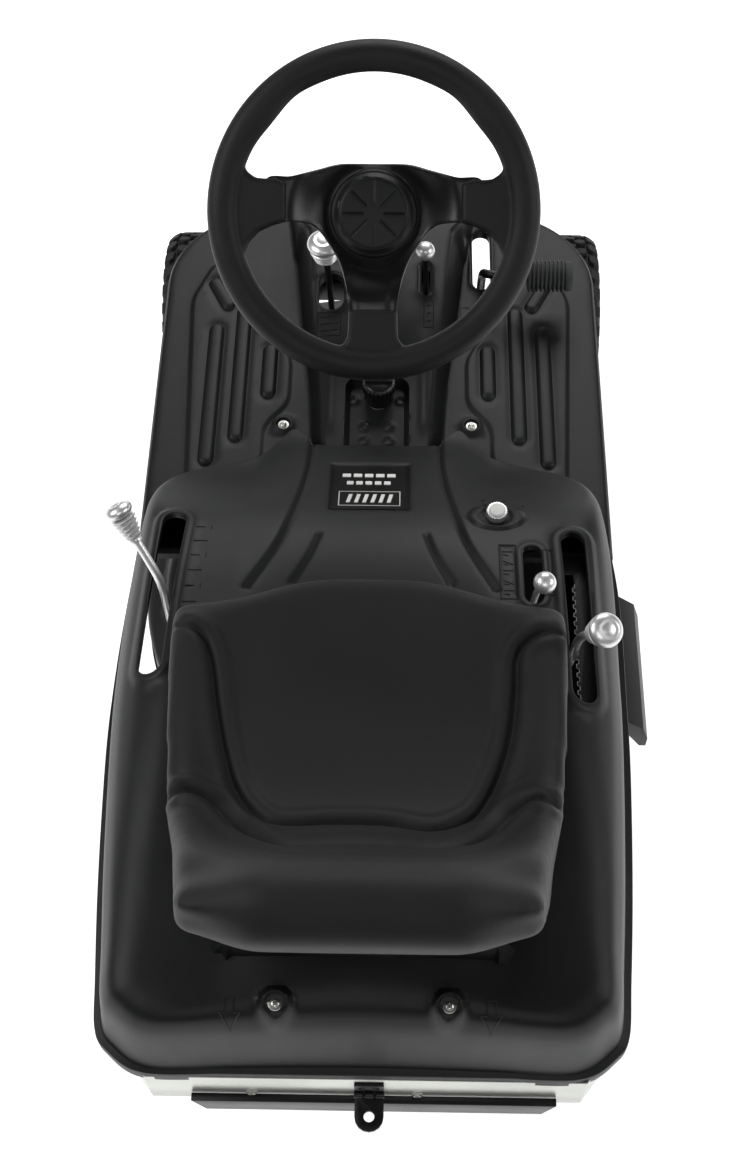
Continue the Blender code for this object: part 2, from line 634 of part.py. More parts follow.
# ---------------------------------------------------------------- drive train
def drive():
    for side, s in (("left", -1), ("right", 1)):
        wheel("rear_" + side, s, REAR_AXLE, REAR_TYRE_R, REAR_TYRE_X, 0.088, 0.0)
    y, z = REAR_AXLE
    case = prism(rounded(-0.092, -0.500, 0.092, -0.335, 0.018), 0.118, 0.206)
    tubes = rod((-0.1180, y, z), (0.1180, y, z), 0.024, 16)
    boss = lathe([(0.022, 0.200), (0.018, 0.226)], 14, (0, -0.450, 0), (0, 0, 1))
    feet = join(*[block((s * 0.110 - 0.013, -0.480, 0.196), (s * 0.110 + 0.013, -0.410,
                                                             RAIL_Z[0] - GAP)) for s in (-1, 1)])
    web = block((-0.120, -0.470, 0.190), (0.120, -0.420, 0.200))
    bores = join(rod((-0.13, y, z), (-0.1000, y, z), 0.0096, 12),
                 rod((0.1000, y, z), (0.13, y, z), 0.0096, 12))
    piece("transaxle", case, CASTING, add=(tubes, boss, web, feet), cut=(bores,))
    body("gearbox_input", (0, -0.450, 0.24))
    pulley = [(0.0, 0.2270), (0.060, 0.2270), (0.060, 0.2300), (0.052, 0.2350), (0.052, 0.2430),
              (0.060, 0.2480), (0.060, 0.2510), (0.0, 0.2510)]
    piece("gearbox_pulley", lathe(pulley, 24, (0, -0.450, 0), (0, 0, 1)), GREY_STEEL,
          "gearbox_input")
    body("crank", (0, CRANK_Y, 0.20))
    crank = [(0.0, 0.1350), (0.034, 0.1350), (0.034, 0.1380), (0.030, 0.1400), (0.030, 0.2180),
             (0.034, 0.2200), (0.034, 0.2300), (0.028, 0.2350), (0.028, 0.2430), (0.034, 0.2480),
             (0.034, 0.2510), (0.012, 0.2520), (0.012, 0.2790), (0.0, 0.2790)]
    piece("crank_pulley", lathe(crank, 24, (0, CRANK_Y, 0), (0, 0, 1)), GREY_STEEL, "crank")
    belt("drive_belt", (CRANK_Y, 0.0290), (-0.450, 0.0534), 0.0060, 0.2358, 0.2422, "machine")


def belt(name, a, b, thick, z0, z1, where):
    """A belt round two pulleys on the middle line, (y, inner radius) each."""
    (ya, ra), (yb, rb) = (a, b) if a[0] > b[0] else (b, a)
    lean = math.degrees(math.asin((ra - rb) / (ya - yb)))

    def loop(extra):
        front = arc(0, ya, ra + extra, -lean, 180 + lean, 12)
        back = arc(0, yb, rb + extra, 180 + lean, 360 - lean, 12)
        return front + back

    inner, outer = loop(0.0), loop(thick)
    rings = [[Vector((x, y, z)) for x, y in ring]
             for ring, z in ((inner, z0), (outer, z0), (outer, z1), (inner, z1))]
    verts, faces = stack(rings + [rings[0]], cap=False)
    count = len(inner)
    faces = [tuple(i % (4 * count) for i in f) for f in faces]
    return piece(name, (verts[:4 * count], faces), RUBBER, where)


def engine():
    y = CRANK_Y
    base = prism(rounded(-0.122, y - 0.105, 0.122, y + 0.105, 0.012), RAIL_Z[1] + GAP, 0.277)
    sump = lathe([(0.095, 0.274), (0.098, 0.300), (0.090, 0.352)], 20, (0, y, 0), (0, 0, 1))
    cylinder = block((-0.050, y - 0.165, 0.300), (0.050, y - 0.020, 0.350))
    fins = join(*[block((-0.058, y - 0.160 + 0.012 * k, 0.294), (0.058, y - 0.156 + 0.012 * k,
                                                                0.3505)) for k in range(5)])
    bore = rod((0, y, 0.25), (0, y, 0.2850), 0.0126, 12)
    piece("engine_block", base, CASTING, add=(sump, cylinder, fins), cut=(bore,))
    shroud = lathe([(0.098, 0.3524), (0.102, 0.3600), (0.100, 0.4080), (0.084, 0.4180),
                    (0.050, 0.4180), (0.046, 0.4150), (0.0, 0.4150)], 24, (0, y, 0), (0, 0, 1))
    piece("engine_shroud", shroud, PLASTIC)
    muffler = lathe([(0.0, -0.085), (0.032, -0.085), (0.036, -0.080), (0.036, 0.080),
                     (0.032, 0.085), (0.0, 0.085)], 16, (0.0, -0.560, 0.345), (1, 0, 0))
    pipe = sweep([(0.030, -0.5650, 0.345), (0.030, -0.5400, 0.330), (0.030, -0.4830, 0.325),
                  (0.030, -0.4554, 0.325)], 0.011, 10)
    piece("muffler", muffler, GREY_STEEL, add=(pipe,))
    body_box = block((-0.075, 0.000, RAIL_Z[1] + 0.004), (0.075, 0.088, 0.3620))
    tray = block((-0.124, 0.010, RAIL_Z[1] + GAP), (0.124, 0.078, RAIL_Z[1] + 0.006))
    posts = [lathe([(0.008, 0.3600), (0.008, 0.3710)], 10, (s * 0.055, 0.030, 0), (0, 0, 1))
             for s in (-1, 1)]
    piece("battery", body_box, BATTERY, add=(tray, *posts), smooth=False)


def fuel():
    low = rounded(-0.066, 0.190, 0.066, 0.345, 0.018)
    top = rounded(-0.060, 0.196, 0.060, 0.339, 0.018)
    tank = stack([[Vector((x, y, RAIL_Z[1] + 0.006)) for x, y in low],
                  [Vector((x, y, 0.322)) for x, y in low],
                  [Vector((x, y, 0.331)) for x, y in top]])
    neck = rod((0.002, 0.255, 0.325), (0.002, 0.255, 0.3575), 0.0165, 16)
    straps = join(block((-0.124, 0.205, RAIL_Z[1] + GAP), (0.124, 0.225, RAIL_Z[1] + 0.008)),
                  block((-0.124, 0.300, RAIL_Z[1] + GAP), (0.124, 0.320, RAIL_Z[1] + 0.008)))
    piece("fuel_tank", tank, TANK, add=(neck, straps))
    body("fuel_cap", (0.002, 0.255, 0.366))
    outline = []
    for k in range(48):
        a = 2 * math.pi * k / 48
        r = 0.0225 + (0.0 if k % 4 < 2 else -0.0012)
        outline.append((0.002 + r * math.cos(a), 0.255 + r * math.sin(a)))
    skirt = prism(outline, 0.3579, 0.3710)
    grip = block((-0.0185, 0.2515, 0.3700), (0.0225, 0.2585, 0.3780))
    piece("fuel_cap", skirt, PLASTIC, "fuel_cap", add=(grip,))


# ---------------------------------------------------------------- mower deck
def mower():
    body("mower_deck", (0, SPINDLE_Y, CUTTER_TOP))
    r, top, low = CUTTER_R, CUTTER_TOP, CUTTER_SKIRT
    profile = [(0.0, top), (0.240, top), (0.285, top - 0.010), (r - 0.004, top - 0.034), (r, low),
               (r - 0.003, low), (r - 0.007, top - 0.034), (0.283, top - 0.013),
               (0.240, top - 0.003), (0.0, top - 0.003)]
    shell = lathe(profile, 36, (0, SPINDLE_Y, 0), (0, 0, 1))
    housing = lathe([(0.030, top - 0.0005), (0.030, top + 0.006), (0.020, top + 0.009)], 16,
                    (0, SPINDLE_Y, 0), (0, 0, 1))
    links = []
    for s in (-1, 1):
        # hanger plates with a slotted eye for the lift arm pin
        x = s * 0.074
        peak = LIFT_PIVOT[1] + 0.012
        outline = [(-0.078, top - 0.002), (-0.044, top - 0.002), (-0.048, peak), (-0.074, peak)]
        links.append(extrude(outline, (x - 0.002, 0, 0), (0, 1, 0), (0, 0, 1), 0.004))
    mouth = block((0.255, -0.115, low - 0.01), (0.330, 0.030, top - 0.0130))
    bore = rod((0, SPINDLE_Y, 0.10), (0, SPINDLE_Y, 0.19), 0.0106, 14)
    eye_z = LIFT_PIVOT[1]
    eyes = extrude(pill(-0.0655, eye_z, -0.0590, eye_z, 0.0052), (-0.09, 0, 0), (0, 1, 0),
                   (0, 0, 1), 0.18)
    piece("mower_deck", shell, BLACK_STEEL, "mower_deck", add=(housing, *links),
          cut=(mouth, bore, eyes))
    body("spindle", (0, SPINDLE_Y, 0.14))
    spindle = [(0.0, 0.1030), (0.0100, 0.1030), (0.0100, 0.1760), (0.050, 0.1760),
               (0.050, 0.1780), (0.043, 0.1810), (0.043, 0.1870), (0.050, 0.1900),
               (0.050, 0.1920), (0.0, 0.1920)]
    piece("spindle_pulley", lathe(spindle, 24, (0, SPINDLE_Y, 0), (0, 0, 1)), GREY_STEEL,
          "spindle")
    tip = BLADE_R
    outline = [(-tip, -0.018), (-0.05, -0.025), (0.05, -0.025), (tip, -0.018),
               (tip, 0.022), (0.05, 0.025), (-0.05, 0.025), (-tip, 0.022)]
    flat = prism([(x, y + SPINDLE_Y) for x, y in outline], 0.0985, 0.1026)
    nut = lathe([(0.013, 0.0900), (0.013, 0.0990)], 6, (0, SPINDLE_Y, 0), (0, 0, 1))
    piece("blade", flat, GREY_STEEL, "spindle", add=(nut,), smooth=False)
    belt("blade_belt", (SPINDLE_Y, 0.0442), (CRANK_Y, 0.0310), 0.0055, 0.1815, 0.1865,
         "mower_deck")
    # deflector flap hinged on the right edge of the deck
    hinge = (0.3260, 0.1600)
    body("deflector", (hinge[0], -0.040, hinge[1]))
    y0, y1 = -0.140, 0.052
    section = [(0.3235, 0.1560), (0.3235, 0.1640), (0.3330, 0.1640), (0.3560, 0.1440),
               (0.3650, 0.1150), (0.3650, 0.0950), (0.3610, 0.0950), (0.3610, 0.1140),
               (0.3525, 0.1415), (0.3315, 0.1600), (0.3300, 0.1560)]
    flap = extrude(section, (0, y1, 0), (1, 0, 0), (0, 0, 1), y1 - y0)
    ends = [extrude([(0.3300, 0.1600), (0.3540, 0.1420), (0.3630, 0.1150), (0.3630, 0.0950),
                     (0.3560, 0.0950), (0.3300, 0.1400)], (0, y, 0), (1, 0, 0), (0, 0, 1), 0.003)
            for y in (y0 + 0.003, y1)]
    piece("deflector", flap, PLASTIC, "deflector", add=tuple(ends), smooth=False)


# ---------------------------------------------------------------- levers
def knob(top, base, profile, count=14):
    """Turned knob standing on a rod that comes from base."""
    top, base = Vector(top), Vector(base)
    axis = (top - base).normalized()
    return lathe(profile, count, top, axis)


def ribbed(r, length, rings, taper=0.75):
    """Profile of a ribbed turned knob, foot to crown, centred on its origin."""
    profile = [(0.0, -0.5 * length), (taper * r * 0.8, -0.5 * length)]
    step = 0.62 * length / rings
    for k in range(rings):
        h = -0.5 * length + step * k
        grow = taper + (1 - taper) * k / rings
        profile += [(grow * r, h + 0.25 * step), (grow * r, h + 0.70 * step),
                    (grow * r * 0.84, h + 0.85 * step)]
    profile += [(r, 0.17 * length), (r, 0.32 * length), (0.8 * r, 0.44 * length),
                (0.45 * r, 0.5 * length), (0.0, 0.5 * length)]
    return profile


def hand_lever(name, where, points, radius, top, profile, one=False, look=CHROME):
    """Bent rod with its turned knob, in one piece or with the knob pushed on."""
    axis = (Vector(top) - Vector(points[-1])).normalized()
    foot = min(h for _, h in profile)
    turned = knob(top, points[-1], profile)
    if one:
        bar = sweep(list(points) + [tuple(Vector(top))], radius, 10)
        piece(name + "_lever", bar, look, where, add=(turned,))
        return
    end = Vector(top) + axis * (foot - GAP)
    piece(name + "_lever", sweep(list(points) + [tuple(end)], radius, 10), look, where)
    piece(name + "_knob", turned, look, where)


def levers():
    y, z = LIFT_PIVOT
    body("height_lever", (-0.2385, y, z))
    hand_lever("height", "height_lever",
               [(-0.2385, y, z), (-0.2385, -0.130, 0.360), (-0.2385, -0.136, 0.440),
                (-0.2385, -0.138, 0.480), (-0.2450, -0.132, 0.510)], 0.0050, (-0.2750, -0.1000, 0.5600),
               ribbed(0.0165, 0.046, 4, 0.62))
    shaft = rod((-0.2330, y, z), (0.080, y, z), 0.0070, 12)
    arms = []
    for s in (-1, 1):
        x = s * 0.0665
        arms.append(extrude(pill(y, z, y + 0.060, z, 0.0090), (x - 0.002, 0, 0), (0, 1, 0),
                            (0, 0, 1), 0.004))
        arms.append(rod((x - 0.001, y + 0.060, z), (s * 0.0790, y + 0.060, z), 0.0040, 10))
    piece("lift_shaft", shaft, GREY_STEEL, "height_lever", add=tuple(arms))
    y, z = -0.153, 0.290
    body("gear_lever", (0.235, y, z))
    hand_lever("gear", "gear_lever",
               [(0.229, y, z), (0.2310, -0.173, 0.360), (0.2320, -0.196, 0.440),
                (0.2320, -0.204, 0.480), (0.2360, -0.212, 0.510)],
               0.0050, (0.2490, -0.2340, 0.5580), ribbed(0.0195, 0.044, 3, 0.60))
    piece("gear_lever_bracket", block((0.1254, y - 0.020, 0.225), (0.1290, y + 0.020, 0.302)),
          BLACK_STEEL, add=(block((0.1270, y - 0.010, 0.286), (0.2225, y + 0.010, 0.294)),),
          smooth=False)
    body("throttle_lever", (0.191, -0.110, 0.400))
    ball = [(0.0, -0.0125), (0.0055, -0.0125), (0.0070, -0.0100), (0.0118, -0.0040),
            (0.0125, 0.0020), (0.0100, 0.0085), (0.0050, 0.0120), (0.0, 0.0125)]
    hand_lever("throttle", "throttle_lever",
               [(0.191, -0.110, 0.400), (0.191, -0.124, 0.450), (0.192, -0.136, 0.485)], 0.0040,
               (0.1950, -0.1500, 0.5200), ball, one=True)
    body("blade_lever", (-0.066, 0.415, 0.290))
    hand_lever("blade", "blade_lever",
               [(-0.066, 0.415, 0.290), (-0.067, 0.414, 0.360), (-0.069, 0.411, 0.410)], 0.0045,
               (-0.0720, 0.4080, 0.4600), ribbed(0.0225, 0.040, 2, 0.52), one=True)
    body("brake_lever", (0.0645, 0.425, 0.290))
    hand_lever("brake", "brake_lever",
               [(0.0645, 0.425, 0.290), (0.0645, 0.417, 0.360), (0.064, 0.411, 0.410)], 0.0035,
               (0.0620, 0.4060, 0.4600), [(r, h) for r, h in ball], one=True)
    shelf = block((-0.0945, 0.400, 0.2654), (0.0945, 0.440, 0.2700))
    ears = [block((x - 0.006, 0.405, 0.2690), (x + 0.006, 0.435, 0.2840)) for x in (-0.066, 0.0645)]
    piece("lever_bracket", shelf, BLACK_STEEL, add=(block((-0.124, 0.405, 0.2654), (0.124, 0.435,
          0.2690)), *ears), smooth=False)


def pedal():
    body("pedal", (0.1465, 0.520, 0.240))
    arm = sweep([(0.1465, 0.520, 0.240), (0.1465, 0.512, 0.275), (0.1465, 0.500, 0.310),
                 (0.1465, 0.475, 0.345), (0.150, 0.462, 0.358), (0.160, 0.456, 0.362),
                 (0.176, 0.455, 0.362), (0.262, 0.455, 0.362)], 0.0060, 8)
    pivot = rod((0.1256, 0.520, 0.240), (0.1520, 0.520, 0.240), 0.0090, 12)
    piece("pedal_arm", arm, BLACK_STEEL, "pedal", add=(pivot,))
    ribs = []
    length, count = 0.052, 7
    for k in range(count):
        h = length * k / count
        ribs += [(0.0185, h), (0.0220, h + 0.002), (0.0220, h + 0.0052)]
    ribs += [(0.0185, length), (0.0210, length + 0.002), (0.0195, length + 0.010)]
    profile = [(0.0066, 0.0)] + ribs + [(0.0066, length + 0.010)]
    piece("pedal_pad", lathe(profile, 14, (0.2064, 0.455, 0.362), (1, 0, 0), ring=True), RUBBER,
          "pedal")


def key():
    x, y = 0.149, -0.006
    z = hood_top(x, y) + 0.0030
    body("ignition_key", (x, y, z))
    outline = []
    for k in range(36):
        a = 2 * math.pi * k / 36
        r = 0.0125 + (0.0 if k % 3 else -0.0010)
        outline.append((x + r * math.cos(a), y + r * math.sin(a)))
    stem = rod((x, y, z - 0.016), (x, y, z + 0.006), 0.0055, 12)
    top = lathe([(0.0105, z + 0.0110), (0.0105, z + 0.0135), (0.0085, z + 0.0145)], 18, (x, y, 0),
                (0, 0, 1))
    piece("ignition_key", prism(outline, z + 0.0030, z + 0.0120), CHROME, "ignition_key",
          add=(stem, top))
    switch = lathe([(0.0130, z - 0.045), (0.0130, z - 0.0170)], 14, (x, y, 0), (0, 0, 1))
    piece("ignition_switch", switch, PLASTIC)


# ---------------------------------------------------------------- seat
def seat_section(t):
    """Half width, y and z round the side outline of the seat at share t of its width."""
    side = ease((t - 0.60) / 0.35)
    front = -0.137 - 0.038 * ease((t - 0.2) / 0.8)
    lift = 0.030 * side
    arch = 0.010 * ease((t - 0.25) / 0.7)
    top = 0.722 - 0.030 * ease((t - 0.45) / 0.55)
    back = -0.630 + 0.026 * ease((t - 0.5) / 0.5)
    wide = SEAT_HALF
    return [
        (wide, front + 0.004, 0.4960), (wide, front, 0.5080),
        (wide, front - 0.006, 0.5200 + 0.3 * lift), (wide, front - 0.024, 0.5300 + 0.3 * lift),
        (wide, -0.230, 0.5250 + 0.6 * lift), (wide - 0.004, -0.330, 0.5130 + lift),
        (wide - 0.013, -0.420, 0.5170 + 1.2 * lift),
        (wide - 0.022, -0.466 + arch, 0.5400 + 1.2 * lift),
        (wide - 0.032, -0.506 + arch, 0.5900 + 0.6 * lift), (wide - 0.042, -0.540 + arch, 0.6500),
        (wide - 0.048, -0.560 + 0.5 * arch, top - 0.024), (wide - 0.050, -0.576, top - 0.004),
        (wide - 0.050, -0.598, top - 0.002), (wide - 0.050, back + 0.006, top - 0.018),
        (wide - 0.048, back, top - 0.044), (wide - 0.042, back + 0.022, 0.6100),
        (wide - 0.034, back + 0.052, 0.5450), (wide - 0.028, back + 0.084, 0.5050),
        (wide - 0.024, back + 0.110, SEAT_FLOOR + 0.005), (wide - 0.022, back + 0.130, SEAT_FLOOR),
        (wide, -0.330, SEAT_FLOOR), (wide, front - 0.030, SEAT_FLOOR), (wide, front - 0.008, 0.4850),
    ]


def seat():
    body("seat", (0.0, -0.350, PLINTH_TOP))
    stations = [-1.0, -0.965, -0.86, -0.68, -0.45, -0.2, 0.2, 0.45, 0.68, 0.86, 0.965, 1.0]
    rings = []
    for t in stations:
        line = seat_section(abs(t))
        shrink = 0.016 * max(0.0, (abs(t) - 0.86) / 0.14) ** 2
        ring = []
        for k, (wide, y, z) in enumerate(line):
            before, after = line[k - 1], line[(k + 1) % len(line)]
            ty, tz = after[1] - before[1], after[2] - before[2]
            size = math.hypot(ty, tz)
            z = max(z - ty / size * -shrink, SEAT_FLOOR)
            ring.append(Vector((t * wide, y + tz / size * -shrink, z)))
        rings.append(ring)
    piece("seat_cushion", stack(rings), VINYL, "seat")
    pan = prism(rounded(-0.150, -0.500, 0.150, -0.180, 0.020), PLINTH_TOP + 0.0004,
                SEAT_FLOOR - GAP)
    piece("seat_pan", pan, BLACK_STEEL, "seat", bevel=0.001, smooth=False)


chassis()
foot_deck()
hood()
hood_trim()
steering()
front_axle()
drive()
engine()
fuel()
mower()
levers()
pedal()
key()
seat()
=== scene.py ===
"""Looks of a compact ride-on mower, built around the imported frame.  Metres, +Z up, driver facing +Y."""
import json
import math

import bmesh
import bpy
import numpy as np
from mathutils import Matrix, Vector, geometry, kdtree

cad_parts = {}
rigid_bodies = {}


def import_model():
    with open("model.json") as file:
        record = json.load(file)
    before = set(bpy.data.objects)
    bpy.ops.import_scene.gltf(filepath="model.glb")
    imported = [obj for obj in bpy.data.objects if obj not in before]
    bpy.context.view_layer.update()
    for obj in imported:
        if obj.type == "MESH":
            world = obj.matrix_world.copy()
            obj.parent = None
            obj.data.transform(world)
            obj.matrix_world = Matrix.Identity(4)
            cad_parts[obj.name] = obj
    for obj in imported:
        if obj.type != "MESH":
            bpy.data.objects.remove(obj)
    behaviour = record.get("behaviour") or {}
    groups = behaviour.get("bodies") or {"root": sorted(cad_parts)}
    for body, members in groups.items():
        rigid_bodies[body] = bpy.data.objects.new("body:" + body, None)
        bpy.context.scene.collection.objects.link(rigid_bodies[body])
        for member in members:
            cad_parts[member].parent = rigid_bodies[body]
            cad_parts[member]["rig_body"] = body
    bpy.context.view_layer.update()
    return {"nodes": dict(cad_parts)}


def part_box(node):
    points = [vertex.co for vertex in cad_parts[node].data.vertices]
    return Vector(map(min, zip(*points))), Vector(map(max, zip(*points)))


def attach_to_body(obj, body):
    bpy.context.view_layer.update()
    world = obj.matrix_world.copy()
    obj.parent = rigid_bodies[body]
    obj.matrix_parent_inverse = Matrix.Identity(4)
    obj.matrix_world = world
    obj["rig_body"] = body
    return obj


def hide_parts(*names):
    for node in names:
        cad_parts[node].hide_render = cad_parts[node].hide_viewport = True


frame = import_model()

# ---------------------------------------------------------------- places taken from the frame
RAIL_L, RAIL_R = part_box("frame_rail_left"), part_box("frame_rail_right")
DATUM = Vector((0.5 * (RAIL_L[0].x + RAIL_R[1].x), RAIL_L[0].y + 0.6405, 0.0))
# every number below is in the machine's own frame: middle plane x = 0, ground z = 0

DECK_TOP = 0.300
DECK_HALF = 0.3085
DECK_FRONT = 0.640
DECK_CORNER = 0.145
DECK_REAR = 0.030
TUNNEL = [  # y, half width at the top, half width at the foot, top height
    (0.170, 0.072, 0.0855, 0.346), (0.300, 0.080, 0.0940, 0.356), (0.380, 0.090, 0.1040, 0.372),
    (0.480, 0.098, 0.1150, 0.380), (0.570, 0.108, 0.1240, 0.378), (0.628, 0.112, 0.1320, 0.366)]
HOOD_OUTLINE = [  # x, y of the right half, front to rear
    (0.000, 0.1750), (0.045, 0.1750), (0.0860, 0.1750), (0.0985, 0.1900), (0.118, 0.2060),
    (0.136, 0.1870), (0.160, 0.1600), (0.198, 0.1400), (0.236, 0.1260), (0.262, 0.1120),
    (0.284, 0.0850), (0.299, 0.0480), (0.307, -0.0050), (0.3125, -0.0900),
    (0.3155, -0.1700), (0.3160, -0.2500), (0.3120, -0.3500), (0.3060, -0.4500),
    (0.2985, -0.5400), (0.2930, -0.5950), (0.2790, -0.6180), (0.2380, -0.6420),
    (0.150, -0.6425), (0.070, -0.6425), (0.000, -0.6425)]
# the hood's wall: how far inside the outline, and height
HOOD_RINGS = [(0.0125, 0.3400), (0.0190, 0.3900), (0.0300, 0.4230), (0.0480, 0.4460),
              (0.0760, 0.4700), (0.1200, 0.5200), (0.1900, 0.6000)]
HOOD_TRIM_RIGHT = 0.020  # the right rear is this share narrower
# the hood's top along its middle and along its flanks: y, height
HOOD_MIDDLE = [(-0.66, 0.432), (-0.60, 0.440), (-0.50, 0.456), (-0.15, 0.460), (-0.03, 0.447),
               (0.05, 0.415), (0.12, 0.382), (0.175, 0.354), (0.22, 0.348)]
HOOD_FLANK = [(-0.66, 0.430), (-0.50, 0.448), (-0.15, 0.468), (-0.07, 0.456), (0.00, 0.436),
              (0.06, 0.400), (0.12, 0.360), (0.22, 0.338)]
POLE_FRONT, POLE_REAR = 0.020, -0.470  # insets run towards the middle line between these
PLINTH = (-0.140, -0.550, 0.140, -0.165)
PLINTH_TOP = 0.470
# lever slots of the hood: both ends of the middle line, half width
LEFT_SLOT = (-0.2385, -0.0220, -0.2475, -0.2260, 0.0145)
RIGHT_SLOT = (0.2375, -0.0500, 0.2405, -0.2560, 0.0145)
THROTTLE_SLOT = (0.1885, -0.0680, 0.1885, -0.1340, 0.0115)
KEY = (0.149, -0.006)

STEER_CENTRE = Vector((0.0, 0.170, 0.768))
STEER_TILT = math.radians(42.0)
STEER_AXIS = Vector((0.0, -math.sin(STEER_TILT), math.cos(STEER_TILT)))
STEER_UP = STEER_AXIS.cross(Vector((1, 0, 0)))
STEER_R = 0.1655
GRIP_R = 0.017


# ---------------------------------------------------------------- camera, floor and light
def studio():
    """Camera high behind the seat, a pale floor and soft light."""
    data = bpy.data.cameras.new("camera")
    data.sensor_width = 36.0
    data.lens = 49.97
    data.clip_start, data.clip_end = 0.05, 50.0
    cam = bpy.data.objects.new("camera", data)
    bpy.context.scene.collection.objects.link(cam)
    pitch, yaw, roll = 1.01149, 0.03029, 0.01443
    turn = Matrix.Rotation(yaw, 3, "Z")
    right = turn @ Vector((1, 0, 0))
    down = turn @ Vector((0, -math.sin(pitch), -math.cos(pitch)))
    ahead = turn @ Vector((0, math.cos(pitch), -math.sin(pitch)))
    across = right * math.cos(roll) + down * math.sin(roll)
    below = down * math.cos(roll) - right * math.sin(roll)
    rows = Matrix((across, -below, -ahead)).transposed().to_4x4()
    eye = Vector((0.03375, -1.10418, 2.04727)) + DATUM
    cam.matrix_world = Matrix.Translation(eye) @ rows
    bpy.context.scene.camera = cam

    mesh = bpy.data.meshes.new("floor")
    reach, level = 9.0, -0.0005
    corners = [(x, y, level) for x, y in ((-reach, -reach), (reach, -reach), (reach, reach), (-reach, reach))]
    mesh.from_pydata(corners, [], [(0, 1, 2, 3)])
    floor = bpy.data.objects.new("floor", mesh)
    bpy.context.scene.collection.objects.link(floor)
    tree = Tree("studio_floor")
    noise = tree.add("ShaderNodeTexNoise", {}, {"Vector": tree.place(), "Scale": 3.0})
    tint = tree.ramp(noise, [(0.3, (0.90, 0.90, 0.90)), (0.7, (0.93, 0.93, 0.93))])
    tree.shade({"Base Color": tint, "Roughness": 0.9, "Emission Color": (1.0, 1.0, 1.0),
                "Emission Strength": 0.72})
    mesh.materials.append(tree.mat)

    world = bpy.data.worlds.new("studio")
    world.use_nodes = True
    nodes, links = world.node_tree.nodes, world.node_tree.links
    fill = nodes["Background"]
    fill.inputs["Strength"].default_value = 0.10
    seen = nodes.new("ShaderNodeBackground")
    seen.inputs["Strength"].default_value = 1.0
    for back in (fill, seen):
        back.inputs["Color"].default_value = (1.0, 1.0, 1.0, 1.0)
    ray, choice = nodes.new("ShaderNodeLightPath"), nodes.new("ShaderNodeMixShader")
    links.new(ray.outputs["Is Camera Ray"], choice.inputs[0])
    links.new(fill.outputs[0], choice.inputs[1])
    links.new(seen.outputs[0], choice.inputs[2])
    links.new(choice.outputs[0], nodes["World Output"].inputs[0])
    bpy.context.scene.world = world
    bpy.context.scene.view_settings.view_transform = "Standard"
    lamp("key", (-2.3, -0.3, 2.6), (0.0, -0.1, 0.35), 1.7, 44.0)
    lamp("front", (0.3, 3.4, 3.0), (0.0, 0.0, 0.35), 3.0, 100.0)
    lamp("side", (2.6, -0.4, 1.9), (0.0, 0.0, 0.40), 1.5, 26.0)
    lamp("rear", (0.2, -2.6, 3.2), (0.0, -0.3, 0.35), 1.8, 20.0)


def lamp(name, place, target, size, power):
    """A soft rectangular lamp that faces the target."""
    data = bpy.data.lights.new(name, "AREA")
    data.shape = "RECTANGLE"
    data.size, data.size_y = size, size * 0.7
    data.energy = power
    obj = bpy.data.objects.new(name, data)
    obj.location = place
    obj.rotation_euler = (Vector(target) - Vector(place)).to_track_quat("-Z", "Y").to_euler()
    bpy.context.scene.collection.objects.link(obj)


